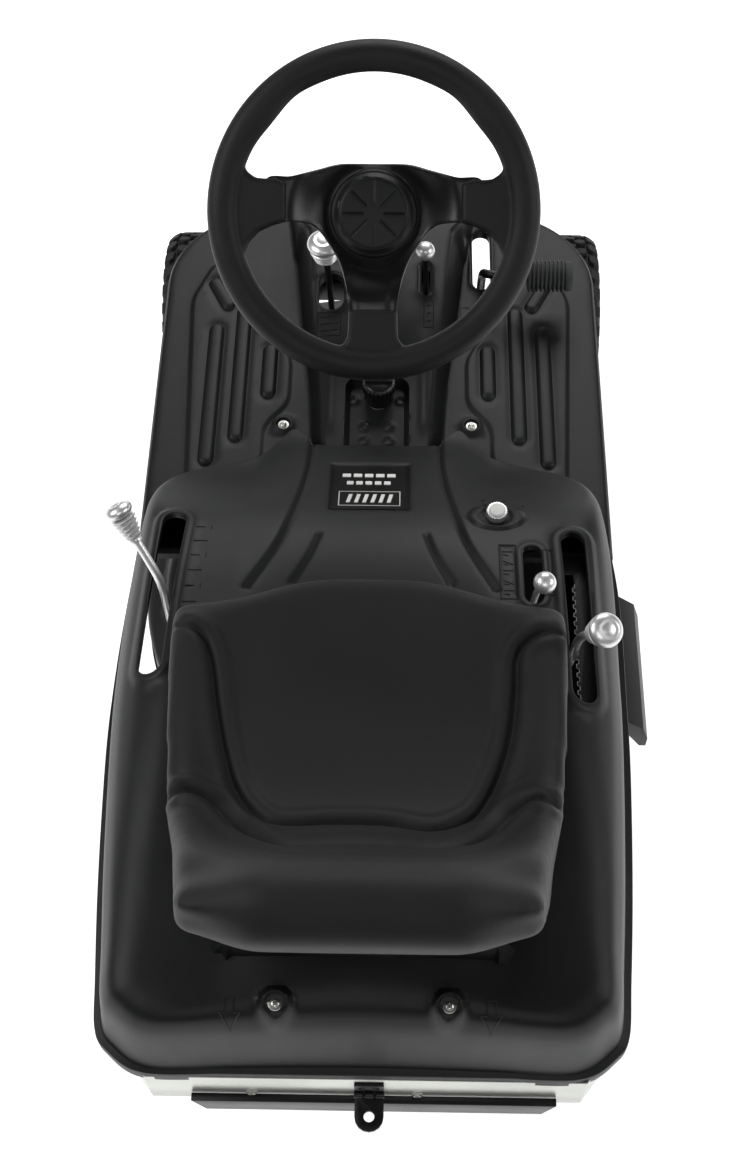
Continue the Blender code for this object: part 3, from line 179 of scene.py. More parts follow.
# ---------------------------------------------------------------- materials
class Tree:
    """A material whose nodes are added and linked in one call each."""

    def __init__(self, name):
        self.mat = bpy.data.materials.new(name)
        self.mat.use_nodes = True
        self.nodes = self.mat.node_tree.nodes
        self.links = self.mat.node_tree.links
        self.bsdf = self.nodes["Principled BSDF"]

    def feed(self, node, key, value):
        if isinstance(value, tuple) and len(value) == 2 and hasattr(value[0], "outputs"):
            self.links.new(value[0].outputs[value[1]], node.inputs[key])
        elif hasattr(value, "outputs"):
            self.links.new(value.outputs[0], node.inputs[key])
        elif isinstance(value, tuple) and len(value) == 3 and node.inputs[key].type == "RGBA":
            node.inputs[key].default_value = (*value, 1.0)
        else:
            node.inputs[key].default_value = value

    def add(self, kind, settings, inputs):
        node = self.nodes.new(kind)
        for key, value in settings.items():
            setattr(node, key, value)
        for key, value in inputs.items():
            self.feed(node, key, value)
        return node

    def place(self, scale=(1.0, 1.0, 1.0)):
        """Object coordinates, stretched."""
        coords = self.add("ShaderNodeTexCoord", {}, {})
        if scale == (1.0, 1.0, 1.0):
            return coords, "Object"
        return self.add("ShaderNodeMapping", {}, {"Vector": (coords, "Object"), "Scale": scale})

    def noise(self, scale, detail=3.0, stretch=(1.0, 1.0, 1.0), rough=0.55):
        return self.add("ShaderNodeTexNoise", {}, {"Vector": self.place(stretch), "Scale": scale,
                                                   "Detail": detail, "Roughness": rough})

    def cells(self, scale, feature="F1"):
        return self.add("ShaderNodeTexVoronoi", {"feature": feature},
                        {"Vector": self.place(), "Scale": scale})

    def ramp(self, source, stops):
        node = self.add("ShaderNodeValToRGB", {}, {"Fac": source})
        while len(node.color_ramp.elements) < len(stops):
            node.color_ramp.elements.new(0.5)
        for element, (at, colour) in zip(node.color_ramp.elements, stops):
            element.position = at
            element.color = (*colour, 1.0)
        return node

    def toned(self, source, tone, at0, low, at1, high, lift=0.0):
        """A colour that runs from low to high times the tone as the source goes from at0 to at1."""
        return self.ramp(source, [(at0, tuple(c * low for c in tone)),
                                  (at1, tuple(c * high + lift for c in tone))])

    def specked(self, specks, most, high, colour, dust):
        """The colour with light specks where the fine noise is highest: dust, and on the steering grip also
        painted speckled highlights.
        """
        return self.mix(self.span(specks, 0.0, most, *high), colour, dust)

    def span(self, source, low, high, at0=0.0, at1=1.0):
        return self.add("ShaderNodeMapRange", {}, {"Value": source, "From Min": at0,
                                                   "From Max": at1, "To Min": low, "To Max": high})

    def math(self, operation, a, b):
        return self.add("ShaderNodeMath", {"operation": operation}, {0: a, 1: b})

    def mix(self, share, a, b):
        return self.add("ShaderNodeMix", {"data_type": "RGBA"}, {0: share, 6: a, 7: b}), 2

    def bump(self, source, distance, strength=1.0, below=None):
        inputs = {"Height": source, "Distance": distance, "Strength": strength}
        if below is not None:
            inputs["Normal"] = below
        return self.add("ShaderNodeBump", {}, inputs)

    def shade(self, inputs):
        for key, value in inputs.items():
            self.feed(self.bsdf, key, value)
        return self.mat


LOOKS = {}


def kept(maker):
    """Each material is made once for each set of values."""
    def made(*values):
        key = (maker.__name__, *values)
        if key not in LOOKS:
            LOOKS[key] = maker(*values)
        return LOOKS[key]
    return made


@kept
def plastic(name, tone, rough, grain):
    """Spark-eroded moulded plastic: fine pitted grain, faint rub marks and dust."""
    tree = Tree(name)
    mottle = tree.noise(9.0, 4.0)
    rub = tree.noise(60.0, 3.0, (1.0, 0.12, 0.4))
    colour = tree.toned(mottle, tone, 0.32, 0.82, 0.68, 1.22, 0.0008)
    colour = tree.specked(tree.noise(2600.0, 1.0), 0.10, (0.70, 0.80), colour, (0.11, 0.11, 0.105))
    level = tree.math("ADD", tree.span(mottle, rough - 0.05, rough + 0.05),
                      tree.span(rub, -0.035, 0.035))
    normal = tree.bump(tree.noise(14.0, 2.0), 0.0011, 0.35)
    normal = tree.bump(tree.cells(1500.0), 0.00011 * grain, 0.8, normal)
    normal = tree.bump(tree.noise(3200.0, 2.0), 0.00006 * grain, 0.7, normal)
    return tree.shade({"Base Color": colour, "Roughness": level, "Normal": normal,
                       "Specular IOR Level": 0.24})


@kept
def vinyl(name, tone):
    """Grained coated fabric of the seat: leather cells with creases and a soft sheen."""
    tree = Tree(name)
    cloud = tree.noise(7.0, 3.0)
    colour = tree.toned(cloud, tone, 0.3, 0.85, 0.7, 1.2)
    colour = tree.specked(tree.noise(2100.0, 1.0), 0.10, (0.70, 0.80), colour, (0.15, 0.15, 0.15))
    level = tree.span(cloud, 0.47, 0.60)
    hide = tree.cells(720.0, "DISTANCE_TO_EDGE")
    normal = tree.bump(tree.noise(180.0, 2.0), 0.0004, 0.35)
    normal = tree.bump(tree.span(hide, 0.0, 1.0, 0.0, 0.10), 0.00011, 0.6, normal)
    normal = tree.bump(tree.cells(1700.0), 0.00008, 0.6, normal)
    return tree.shade({"Base Color": colour, "Roughness": level, "Normal": normal,
                       "Specular IOR Level": 0.24, "Sheen Weight": 0.03, "Sheen Roughness": 0.5})


@kept
def grip(name, tone):
    """Soft-touch moulded foam of the steering wheel, its polish varying in patches."""
    tree = Tree(name)
    cloud = tree.noise(14.0, 4.0)
    colour = tree.toned(cloud, tone, 0.3, 0.85, 0.7, 1.3)
    # brownish specks, stronger than on the other finishes: dust, and painted speckled highlights on the foam
    colour = tree.specked(tree.noise(1900.0, 2.0), 0.22, (0.62, 0.76), colour, (0.12, 0.105, 0.08))
    level = tree.span(cloud, 0.42, 0.60)
    normal = tree.bump(tree.cells(1300.0), 0.00016, 0.8)
    normal = tree.bump(tree.noise(2800.0, 2.0), 0.00008, 0.6, normal)
    return tree.shade({"Base Color": colour, "Roughness": level, "Normal": normal,
                       "Specular IOR Level": 0.26})


@kept
def rubber(name, tone):
    """Tyre and pad rubber, dull, with a mottled tone."""
    tree = Tree(name)
    cloud = tree.noise(22.0, 5.0)
    colour = tree.toned(cloud, tone, 0.35, 1.0, 0.75, 1.9, 0.004)
    level = tree.span(cloud, 0.62, 0.82)
    normal = tree.bump(tree.noise(900.0, 3.0), 0.00018, 0.6)
    return tree.shade({"Base Color": colour, "Roughness": level, "Normal": normal,
                       "Specular IOR Level": 0.30})


@kept
def coated(name, tone, rough):
    """Powder-coated steel with orange peel and rubbed spots."""
    tree = Tree(name)
    cloud = tree.noise(18.0, 4.0)
    colour = tree.toned(cloud, tone, 0.3, 1.0, 0.8, 1.35, 0.002)
    level = tree.span(cloud, rough - 0.07, rough + 0.09)
    normal = tree.bump(tree.noise(620.0, 2.0), 0.00014, 0.6)
    return tree.shade({"Base Color": colour, "Roughness": level, "Normal": normal,
                       "Specular IOR Level": 0.30, "Coat Weight": 0.05, "Coat Roughness": 0.25})


@kept
def metal(name, tone, rough, stretch, stain, share=1.0):
    """Bare or plated metal: lay lines of the finish, and a faint stain."""
    tree = Tree(name)
    lay = tree.noise(260.0, 3.0, stretch)
    cloud = tree.noise(11.0, 5.0)
    colour = tree.toned(cloud, tone, 0.32, 1.0 - stain, 0.66, 1.0)
    level = tree.math("ADD", tree.span(lay, rough - 0.06, rough + 0.10),
                      tree.span(cloud, 0.05, -0.03))
    normal = tree.bump(lay, 0.00005, 0.5)
    return tree.shade({"Base Color": colour, "Roughness": level, "Metallic": share,
                       "Normal": normal})


@kept
def cast(name, tone):
    """Sand-cast aluminium skin."""
    tree = Tree(name)
    cloud = tree.noise(30.0, 5.0)
    colour = tree.toned(cloud, tone, 0.3, 0.7, 0.75, 1.0)
    level = tree.span(cloud, 0.45, 0.68)
    normal = tree.bump(tree.noise(520.0, 3.0), 0.0003, 0.7)
    return tree.shade({"Base Color": colour, "Roughness": level, "Metallic": 0.85,
                       "Normal": normal})


def black_plastic():
    return plastic("moulded_black", (0.0062, 0.0066, 0.0069), 0.43, 1.0)


def black_steel():
    return coated("coated_black", (0.0050, 0.0050, 0.0054), 0.34)


def satin():
    return metal("satin_silver", (0.80, 0.80, 0.80), 0.32, (1.0, 1.0, 6.0), 0.05, 0.82)


def steel():
    return metal("plain_steel", (0.42, 0.42, 0.43), 0.34, (1.0, 6.0, 1.0), 0.25)


def zinc():
    return metal("zinc_plate", (0.60, 0.61, 0.57), 0.30, (0.15, 3.0, 3.0), 0.16)


def deck_paint():
    return coated("deck_paint", (0.0055, 0.0055, 0.0060), 0.42)


def spoke_paint():
    return coated("spoke_paint", (0.0032, 0.0032, 0.0035), 0.30)


def soft_grip():
    return grip("soft_grip", (0.0070, 0.0068, 0.0066))


def seat_vinyl():
    return vinyl("seat_vinyl", (0.0075, 0.0077, 0.0079))


def dress_frame():
    """Every CAD node that stays gets its own finish."""
    groups = [
        (black_steel(), "frame_rail front_axle_beam front_axle_bracket gear_lever_bracket bumper_bar "
                        "tow_hitch seat_pan pedal_arm"),
        (steel(), "knuckle steering_rack steering_shaft lift_shaft crank_pulley gearbox_pulley "
                  "spindle_pulley blade"),
        (zinc(), "lever_bracket rear_plate hood_bolt"),
        (satin(), "ignition_key"),
        (rubber("belt", (0.012, 0.012, 0.012)), "drive_belt blade_belt"),
        (rubber("tyre", (0.014, 0.014, 0.0145)), "tyre"),
        (rubber("pedal_rubber", (0.018, 0.018, 0.018)), "pedal_pad"),
        (cast("cast_housing", (0.46, 0.47, 0.48)), "transaxle"),
        (cast("cast_engine", (0.50, 0.51, 0.52)), "engine_block"),
        (metal("heated_steel", (0.36, 0.34, 0.33), 0.45, (4.0, 1.0, 1.0), 0.4), "muffler"),
        (coated("rim_paint", (0.50, 0.51, 0.52), 0.35), "rim_"),
        (plastic("tank_plastic", (0.62, 0.61, 0.56), 0.42, 0.6), "fuel_tank"),
        (plastic("battery_case", (0.020, 0.021, 0.026), 0.35, 0.4), "battery"),
        (deck_paint(), "mower_deck"), (spoke_paint(), "steering_spokes"),
        (soft_grip(), "steering_rim"), (seat_vinyl(), "seat_cushion")]
    looks = {start: finish for finish, starts in groups for start in starts.split()}
    for name, obj in frame["nodes"].items():
        found = [start for start in looks if name.startswith(start)]
        if found:
            finish = looks[max(found, key=len)]
        elif name.endswith(("_lever", "_knob")):
            finish = satin()
        else:
            finish = black_plastic()
        obj.data.materials.clear()
        obj.data.materials.append(finish)
        smooth(obj, 32)


# ---------------------------------------------------------------- curves and fields
def ease(t):
    t = np.clip(t, 0.0, 1.0)
    return t * t * (3.0 - 2.0 * t)


def rise(low, high, value):
    """0 before low, 1 after high, smooth between."""
    return ease((value - low) / (high - low))


def smooth_table(table, at):
    """A curve through (place, value) points with even slopes."""
    table = sorted(table)
    xs = np.array([p[0] for p in table])
    ys = np.array([p[1] for p in table])
    slopes = np.gradient(ys, xs)
    at = np.clip(np.asarray(at, float), xs[0], xs[-1])
    k = np.clip(np.searchsorted(xs, at) - 1, 0, len(xs) - 2)
    h = xs[k + 1] - xs[k]
    t = (at - xs[k]) / h
    return ((2 * t ** 3 - 3 * t ** 2 + 1) * ys[k] + (t ** 3 - 2 * t ** 2 + t) * h * slopes[k]
            + (3 * t ** 2 - 2 * t ** 3) * ys[k + 1] + (t ** 3 - t ** 2) * h * slopes[k + 1])


def lower_of(a, b, blend):
    """The smaller of two heights, with a fillet where they meet."""
    h = np.clip(0.5 + 0.5 * (b - a) / blend, 0.0, 1.0)
    return b * (1 - h) + a * h - blend * h * (1 - h)


def value_at(field, x, y):
    """One value of a field that works on arrays."""
    return float(field(np.array([x]), np.array([y]))[0])


def arc(cx, cy, r, a0, a1, count):
    """Points on a circle from angle a0 to a1, in degrees."""
    turn = np.radians(np.linspace(a0, a1, count))
    return [(cx + r * math.cos(a), cy + r * math.sin(a)) for a in turn]


def toothed(cx, cy, radii):
    """A closed outline with one radius for each of its evenly spaced points."""
    step = 2 * math.pi / len(radii)
    return [(cx + r * math.cos(k * step), cy + r * math.sin(k * step)) for k, r in enumerate(radii)]


def pill(x0, y0, x1, y1, half, count=12):
    """A straight stretch with round ends."""
    a = math.degrees(math.atan2(y1 - y0, x1 - x0))
    return arc(x1, y1, half, a - 90, a + 90, count) + arc(x0, y0, half, a + 90, a + 270, count)


def rounded(x0, y0, x1, y1, r, count=6):
    return (arc(x1 - r, y1 - r, r, 0, 90, count) + arc(x0 + r, y1 - r, r, 90, 180, count)
            + arc(x0 + r, y0 + r, r, 180, 270, count) + arc(x1 - r, y0 + r, r, 270, 360, count))


def dense(points, spacing, closed=True):
    """The same line with points no further apart than spacing."""
    made = []
    pairs = list(zip(points, points[1:] + points[:1] if closed else points[1:]))
    for a, b in pairs:
        count = max(1, math.ceil(math.dist(a, b) / spacing))
        made += [(a[0] + (b[0] - a[0]) * i / count, a[1] + (b[1] - a[1]) * i / count)
                 for i in range(count)]
    return made if closed else made + [points[-1]]


def flowing(points, spacing, closed=False, steps=0):
    """A smooth curve through points of any dimension, in steps of about spacing or as many as told."""
    pts = [np.array(p, float) for p in points]
    count = len(pts)
    made = []
    for i in range(count if closed else count - 1):
        if closed:
            p0, p1, p2, p3 = (pts[(i + k) % count] for k in (-1, 0, 1, 2))
        else:
            p0, p1, p2, p3 = pts[max(i - 1, 0)], pts[i], pts[i + 1], pts[min(i + 2, count - 1)]
        parts = steps or max(1, math.ceil(np.linalg.norm(p2 - p1) / spacing))
        for s in range(parts):
            t = s / parts
            made.append(tuple(0.5 * (2 * p1 + (p2 - p0) * t + (2 * p0 - 5 * p1 + 4 * p2 - p3) * t ** 2
                                     + (3 * p1 - p0 - 3 * p2 + p3) * t ** 3)))
    return made if closed else made + [tuple(pts[-1])]


def to_segment(x, y, x0, y0, x1, y1):
    """Distance from points to a straight stretch."""
    dx, dy = x1 - x0, y1 - y0
    t = np.clip(((x - x0) * dx + (y - y0) * dy) / max(dx * dx + dy * dy, 1e-12), 0, 1)
    return np.hypot(x - x0 - t * dx, y - y0 - t * dy)


def to_line(x, y, line):
    """Distance from points to a chain of straight stretches."""
    best = np.full(np.shape(x), 1e3)
    for (x0, y0), (x1, y1) in zip(line, line[1:]):
        best = np.minimum(best, to_segment(x, y, x0, y0, x1, y1))
    return best


def inside(x, y, loop):
    """Whether points are inside a closed outline."""
    found = np.zeros(np.shape(x), bool)
    for (x0, y0), (x1, y1) in zip(loop, loop[1:] + loop[:1]):
        if y0 == y1:
            continue
        crossed = ((y0 > y) != (y1 > y)) & (x < (x1 - x0) * (y - y0) / (y1 - y0) + x0)
        found ^= crossed
    return found


def depth_in(x, y, loop):
    """Signed distance to an outline, positive inside."""
    away = to_line(x, y, loop + loop[:1])
    return np.where(inside(x, y, loop), away, -away)


# ---------------------------------------------------------------- mesh building
def join(*shapes):
    verts, faces = [], []
    for v, f in shapes:
        start = len(verts)
        verts += list(v)
        faces += [tuple(i + start for i in face) for face in f]
    return verts, faces


def basis(axis):
    w = Vector(axis).normalized()
    u = Vector((1, 0, 0)) if abs(w.x) < 0.9 else Vector((0, 1, 0))
    u = (u - w * u.dot(w)).normalized()
    return u, w.cross(u), w


def stack(rings, cap=True, ring=False):
    """Rings of equal length joined one to the next, closed by caps or on to the first."""
    count = len(rings[0])
    verts = [tuple(p) for row in rings for p in row]
    total = len(rings)
    faces = []
    for k in range(total if ring else total - 1):
        low, high = k * count, ((k + 1) % total) * count
        faces += [(low + i, low + (i + 1) % count, high + (i + 1) % count, high + i)
                  for i in range(count)]
    if cap and not ring:
        faces.append(tuple(range(count)))
        faces.append(tuple(range((total - 1) * count, total * count)))
    return verts, faces


def lathe(profile, count, origin, axis, ring=False):
    """(radius, height) points turned around an axis; a radius of 0 closes the end."""
    u, v, w = basis(axis)
    origin = Vector(origin)
    verts, rows = [], []
    for r, h in profile:
        if r < 1e-7:
            rows.append([len(verts)])
            verts.append(tuple(origin + w * h))
            continue
        rows.append(list(range(len(verts), len(verts) + count)))
        for i in range(count):
            a = 2 * math.pi * i / count
            verts.append(tuple(origin + w * h + (u * math.cos(a) + v * math.sin(a)) * r))
    faces = []
    for a, b in list(zip(rows, rows[1:])) + ([(rows[-1], rows[0])] if ring else []):
        for i in range(count):
            j = (i + 1) % count
            if len(a) == 1:
                faces.append((a[0], b[i], b[j]))
            elif len(b) == 1:
                faces.append((a[i], b[0], a[j]))
            else:
                faces.append((a[i], b[i], b[j], a[j]))
    if not ring:
        faces += [tuple(row) for row in (rows[0], rows[-1]) if len(row) > 1]
    return verts, faces


def fillet(profile, radius, count=4):
    """Rounds the corners of an open (radius, height) profile."""
    made = [profile[0]]
    for before, at, after in zip(profile, profile[1:], profile[2:]):
        a, p, b = (np.array(q, float) for q in (before, at, after))
        la, lb = np.linalg.norm(a - p), np.linalg.norm(b - p)
        r = min(radius, 0.45 * la, 0.45 * lb)
        start, end = p + (a - p) / la * r, p + (b - p) / lb * r
        for t in np.linspace(0, 1, count):
            made.append(tuple((1 - t) ** 2 * start + 2 * t * (1 - t) * p + t ** 2 * end))
    return made + [profile[-1]]


def softened(loop, radius, count=6):
    """Rounds every corner of a closed outline."""
    return fillet([loop[-1]] + loop + [loop[0]], radius, count)[1:-1]


def extrude(outline, origin, u, v, depth, soften=0.0):
    """A flat outline thickened along u x v, its two rims softened."""
    origin, u, v = Vector(origin), Vector(u), Vector(v)
    w = u.cross(v).normalized()
    if not soften:
        rows = [(0.0, 0.0), (0.0, depth)]
    else:
        rows = [(soften * (1 - math.sin(a)), soften * (1 - math.cos(a)))
                for a in np.linspace(0, math.pi / 2, 4)]
        rows += [(inset, depth - h) for inset, h in reversed(rows)]
    rings = []
    for inset, h in rows:
        shrunk = offset(outline, -inset) if inset else outline
        rings.append([origin + u * p[0] + v * p[1] + w * h for p in shrunk])
    return stack(rings)


def offset(outline, distance):
    """An outline grown by a distance, corner by corner."""
    count = len(outline)
    area = sum(outline[i - 1][0] * outline[i][1] - outline[i][0] * outline[i - 1][1]
               for i in range(count))
    sign = 1.0 if area > 0 else -1.0
    made = []
    for i in range(count):
        a, p, b = Vector(outline[i - 1]), Vector(outline[i]), Vector(outline[(i + 1) % count])
        d0, d1 = (p - a).normalized(), (b - p).normalized()
        n0, n1 = Vector((d0.y, -d0.x)), Vector((d1.y, -d1.x))
        n = n0 + n1
        n = n / max(n.length_squared * 0.5, 0.5)
        made.append(tuple(p + n * distance * sign))
    return made


def prism(outline, z0, z1, soften=0.0):
    return extrude(outline, (0, 0, z0), (1, 0, 0), (0, 1, 0), z1 - z0, soften)


def sweep(path, radii, sides=16, closed=False, cap=True):
    """A round bar along a path."""
    pts = [Vector(p) for p in path]
    n = len(pts)
    radii = radii if hasattr(radii, "__len__") else [radii] * n
    rings, normal = [], None
    for i, p in enumerate(pts):
        before = pts[i - 1] if i or closed else pts[0]
        after = pts[(i + 1) % n] if i < n - 1 or closed else pts[-1]
        t = (after - before).normalized()
        if normal is None:
            normal = basis(t)[0]
        normal = (normal - t * normal.dot(t)).normalized()
        side = t.cross(normal)
        rings.append([p + (normal * math.cos(2 * math.pi * k / sides)
                           + side * math.sin(2 * math.pi * k / sides)) * radii[i]
                      for k in range(sides)])
    return stack(rings, cap=cap, ring=closed)


def skin(outline, holes, height, pitch, lines=(), finer=()):
    """Triangles inside an outline and outside its holes, raised by height(x, y); lines are followed."""
    points, edges = [], []
    for loop, closed in [(outline, True)] + [(h, True) for h in holes] + list(lines):
        start = len(points)
        points += list(loop)
        count = len(loop)
        edges += [(start + i, start + (i + 1) % count) for i in range(count if closed else count - 1)]
    tree = kdtree.KDTree(len(points))
    for i, p in enumerate(points):
        tree.insert((p[0], p[1], 0.0), i)
    tree.balance()
    xs, ys = [p[0] for p in outline], [p[1] for p in outline]
    areas = [(min(xs), min(ys), max(xs), max(ys), pitch)] + list(finer)
    for number, (x0, y0, x1, y1, step) in enumerate(areas):
        row = 0
        y = y0
        while y < y1:
            x = x0 + (0.5 * step if row % 2 else 0.0)
            while x < x1:
                covered = any(a[0] <= x <= a[2] and a[1] <= y <= a[3] for a in areas[number + 1:])
                if not covered and tree.find((x, y, 0.0))[2] > 0.55 * step:
                    points.append((x, y))
                x += step
            y += step * 0.866
            row += 1
    made = geometry.delaunay_2d_cdt([Vector(p) for p in points], edges, [], 0, 1e-7)
    flat = np.array([tuple(p) for p in made[0]])
    faces = np.array([f for f in made[2]])
    middle = flat[faces].mean(axis=1)
    keep = inside(middle[:, 0], middle[:, 1], outline)
    for hole in holes:
        keep &= ~inside(middle[:, 0], middle[:, 1], hole)
    faces = faces[keep]
    z = height(flat[:, 0], flat[:, 1])
    verts = [(float(p[0]), float(p[1]), float(h)) for p, h in zip(flat, z)]
    return verts, [tuple(int(i) for i in f) for f in faces]


def mesh_object(name, shape, finish, outward=True):
    """A new object in the row frame, doubles and loose points removed."""
    verts, faces = shape
    mesh = bpy.data.meshes.new(name)
    mesh.from_pydata([tuple(Vector(p) + DATUM) for p in verts], [], faces)
    bm = bmesh.new()
    bm.from_mesh(mesh)
    bmesh.ops.remove_doubles(bm, verts=bm.verts, dist=2e-6)
    bmesh.ops.delete(bm, geom=[v for v in bm.verts if not v.link_faces], context="VERTS")
    if outward:
        bmesh.ops.recalc_face_normals(bm, faces=bm.faces)
    bm.to_mesh(mesh)
    bm.free()
    mesh.materials.append(finish)
    obj = bpy.data.objects.new(name, mesh)
    bpy.context.scene.collection.objects.link(obj)
    return obj


def smooth(obj, crease):
    """Smooth shading, but for edges sharper than crease in degrees."""
    obj.data.shade_smooth()
    obj.data.set_sharp_from_angle(angle=math.radians(crease))


def piece(name, shape, finish, body, stands_for=(), crease=32.0):
    obj = mesh_object(name, shape, finish)
    smooth(obj, crease)
    attach(obj, body, stands_for)


def attach(obj, body, stands_for=()):
    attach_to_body(obj, body)
    if stands_for:
        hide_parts(*stands_for)


def bake(obj):
    """Applies every modifier to the mesh."""
    bpy.context.view_layer.update()
    graph = bpy.context.evaluated_depsgraph_get()
    made = bpy.data.meshes.new_from_object(obj.evaluated_get(graph))
    old = obj.data
    obj.modifiers.clear()
    obj.data = made
    bpy.data.meshes.remove(old)


def clay(name, shape, finish, voxel, rounds):
    """Overlapping closed shapes fused into one skin with softened corners."""
    obj = mesh_object(name, shape, finish)
    remesh = obj.modifiers.new("fuse", "REMESH")
    remesh.mode = "VOXEL"
    remesh.voxel_size = voxel
    remesh.use_smooth_shade = True
    soften = obj.modifiers.new("soften", "SMOOTH")
    soften.factor = 0.5
    soften.iterations = rounds
    bake(obj)
    obj.data.materials.clear()
    obj.data.materials.append(finish)
    obj.data.shade_smooth()
    return obj


def face_up(bm):
    bmesh.ops.recalc_face_normals(bm, faces=bm.faces)
    if sum(face.normal.z for face in bm.faces) < 0:
        bmesh.ops.reverse_faces(bm, faces=bm.faces)


def thicken(obj, thick, offset_share):
    wall = obj.modifiers.new("wall", "SOLIDIFY")
    wall.thickness = thick
    wall.offset = offset_share


def round_edges(obj, width, segments, sharper_than):
    edges = obj.modifiers.new("edges", "BEVEL")
    edges.width = width
    edges.segments = segments
    edges.limit_method = "ANGLE"
    edges.angle_limit = math.radians(sharper_than)


def shell(name, shape, finish, thick, rim_depth, slot, crease=42.0):
    """A moulded sheet of the chassis: its open edges turned down, then given its wall below."""
    obj = mesh_object(name, shape, finish, outward=False)
    bm = bmesh.new()
    bm.from_mesh(obj.data)
    face_up(bm)
    if rim_depth:
        open_edges = [edge for edge in bm.edges if len(edge.link_faces) == 1]
        made = bmesh.ops.extrude_edge_only(bm, edges=open_edges)
        moved = [part for part in made["geom"] if isinstance(part, bmesh.types.BMVert)]
        bmesh.ops.translate(bm, verts=moved, vec=(0, 0, -rim_depth))
        face_up(bm)
    bm.to_mesh(obj.data)
    bm.free()
    thicken(obj, thick, -1.0)
    bake(obj)
    smooth(obj, crease)
    attach(obj, "chassis", (slot,))


def pressed(name, shape, finish, thick, body, stands_for=(), crease=40.0, bevel=0.0):
    """A thin sheet given its wall on both sides of the surface."""
    obj = mesh_object(name, shape, finish, outward=False)
    thicken(obj, thick, 0.0)
    if bevel:
        round_edges(obj, bevel, 2, 50)
    bake(obj)
    smooth(obj, crease)
    attach(obj, body, stands_for)


# ---------------------------------------------------------------- foot deck
def both_sides(lines):
    return lines + [[(-x, y) for x, y in line] for line in lines]


PAD = dense(softened([(0.2690, 0.462), (0.2420, 0.530), (0.2140, 0.528), (0.1225, 0.352),
                      (0.1225, 0.274), (0.1555, 0.234), (0.1555, 0.172), (0.2360, 0.126),
                      (0.2530, 0.134)], 0.016), 0.006)
# raised ribs of the foot pads: both ends of the middle line
RIBS = [(0.2300, 0.176, 0.2300, 0.403), (0.1925, 0.216, 0.1925, 0.436),
        (0.1520, 0.291, 0.1520, 0.366), (0.2170, 0.450, 0.2370, 0.490)]
RIB_HALF = 0.0104
DECK_SCREW = (0.128, 0.237)
FUEL_CAP = (0.002, 0.255)


def tunnel_at(y):
    """Half width at the top, at the foot, and top height; flared where the console begins."""
    top, foot, peak = (smooth_table([(row[0], row[k]) for row in TUNNEL], y) for k in (1, 2, 3))
    flare = rise(0.526, 0.548, y)
    return top + 0.0110 * flare, foot + 0.0030 * flare, peak


def tunnel_share(x, y):
    """1 on the tunnel's top, 0 on the deck, rounded at both ends."""
    top, foot, _ = tunnel_at(y)
    t = (np.abs(x) - (top - 0.004)) / (foot - top + 0.007)
    front = rise(0.634, 0.612, y)
    return (1 - ease(np.clip(t, 0, 1))) * front


def deck_height(x, y):
    """Height of the moulded deck: pads, ribs, screw seats, tunnel, slot lips and rolled edge."""
    _, _, peak = tunnel_at(y)
    share = tunnel_share(x, y)
    side = np.abs(x)
    pad = depth_in(side, y, PAD)
    z = DECK_TOP + 0.0032 * rise(-0.0025, 0.0025, pad)
    for x0, y0, x1, y1 in RIBS:
        d = to_segment(side, y, x0, y0, x1, y1) - RIB_HALF
        z = z - 0.0016 * np.exp(-((d - 0.0016) / 0.0020) ** 2) + 0.0042 * rise(0.0008, -0.0040, d)
    d = np.hypot(side - DECK_SCREW[0], y - DECK_SCREW[1])
    z = z + 0.0036 * rise(0.017, 0.012, d) - 0.0040 * rise(0.0105, 0.0085, d)
    # crowned top of the tunnel, with its sunk step plate and ridges along it
    crown = peak - 0.004 * (side / 0.1) ** 2
    plate = depth_in(x, y, PLATE)
    crown = crown - 0.0125 * rise(-0.003, 0.004, plate)
    for cx, cy in DIMPLES:
        d = np.hypot(x - cx, y - cy)
        crown = crown + 0.0016 * np.exp(-((d - 0.0058) / 0.0016) ** 2)
    spine = np.abs(side - 0.062)
    crown = crown + 0.0030 * np.exp(-(spine / 0.006) ** 2) * rise(0.18, 0.21, y) * rise(0.36, 0.33, y)
    z = z * (1 - share) + crown * share
    for slot_line, half in DECK_LIPS:
        d = to_segment(x, y, *slot_line) - half
        z = z + 0.0022 * np.exp(-((d - 0.0035) / 0.0028) ** 2)
    edge = depth_in(x, y, DECK_LOOP)
    return z - 0.0065 * (1 - rise(0.0, 0.0065, edge)) ** 2


PLATE = rounded(-0.0400, 0.150, 0.0400, 0.2760, 0.014)
DIMPLES = [(-0.0165, 0.208), (0.0165, 0.208), (-0.0165, 0.185), (0.0165, 0.185),
           (-0.0315, 0.250), (0.0315, 0.250)]
# slots of the deck: both ends of the middle line
PEDAL_SLOT = (0.1465, 0.4975, 0.1465, 0.5845)
BLADE_SLOT = (-0.0655, 0.3990, -0.0655, 0.4250)
BRAKE_SLOT = (0.0645, 0.4130, 0.0645, 0.4560)
DECK_LIPS = [(PEDAL_SLOT, 0.0130), (BLADE_SLOT, 0.0175), (BRAKE_SLOT, 0.0060)]
DECK_LOOP = dense([(DECK_HALF, DECK_REAR)]
                  + arc(DECK_HALF - DECK_CORNER, DECK_FRONT - DECK_CORNER, DECK_CORNER, 0, 90, 30)
                  + arc(DECK_CORNER - DECK_HALF, DECK_FRONT - DECK_CORNER, DECK_CORNER, 90, 180, 30)
                  + [(-DECK_HALF, DECK_REAR)], 0.007)


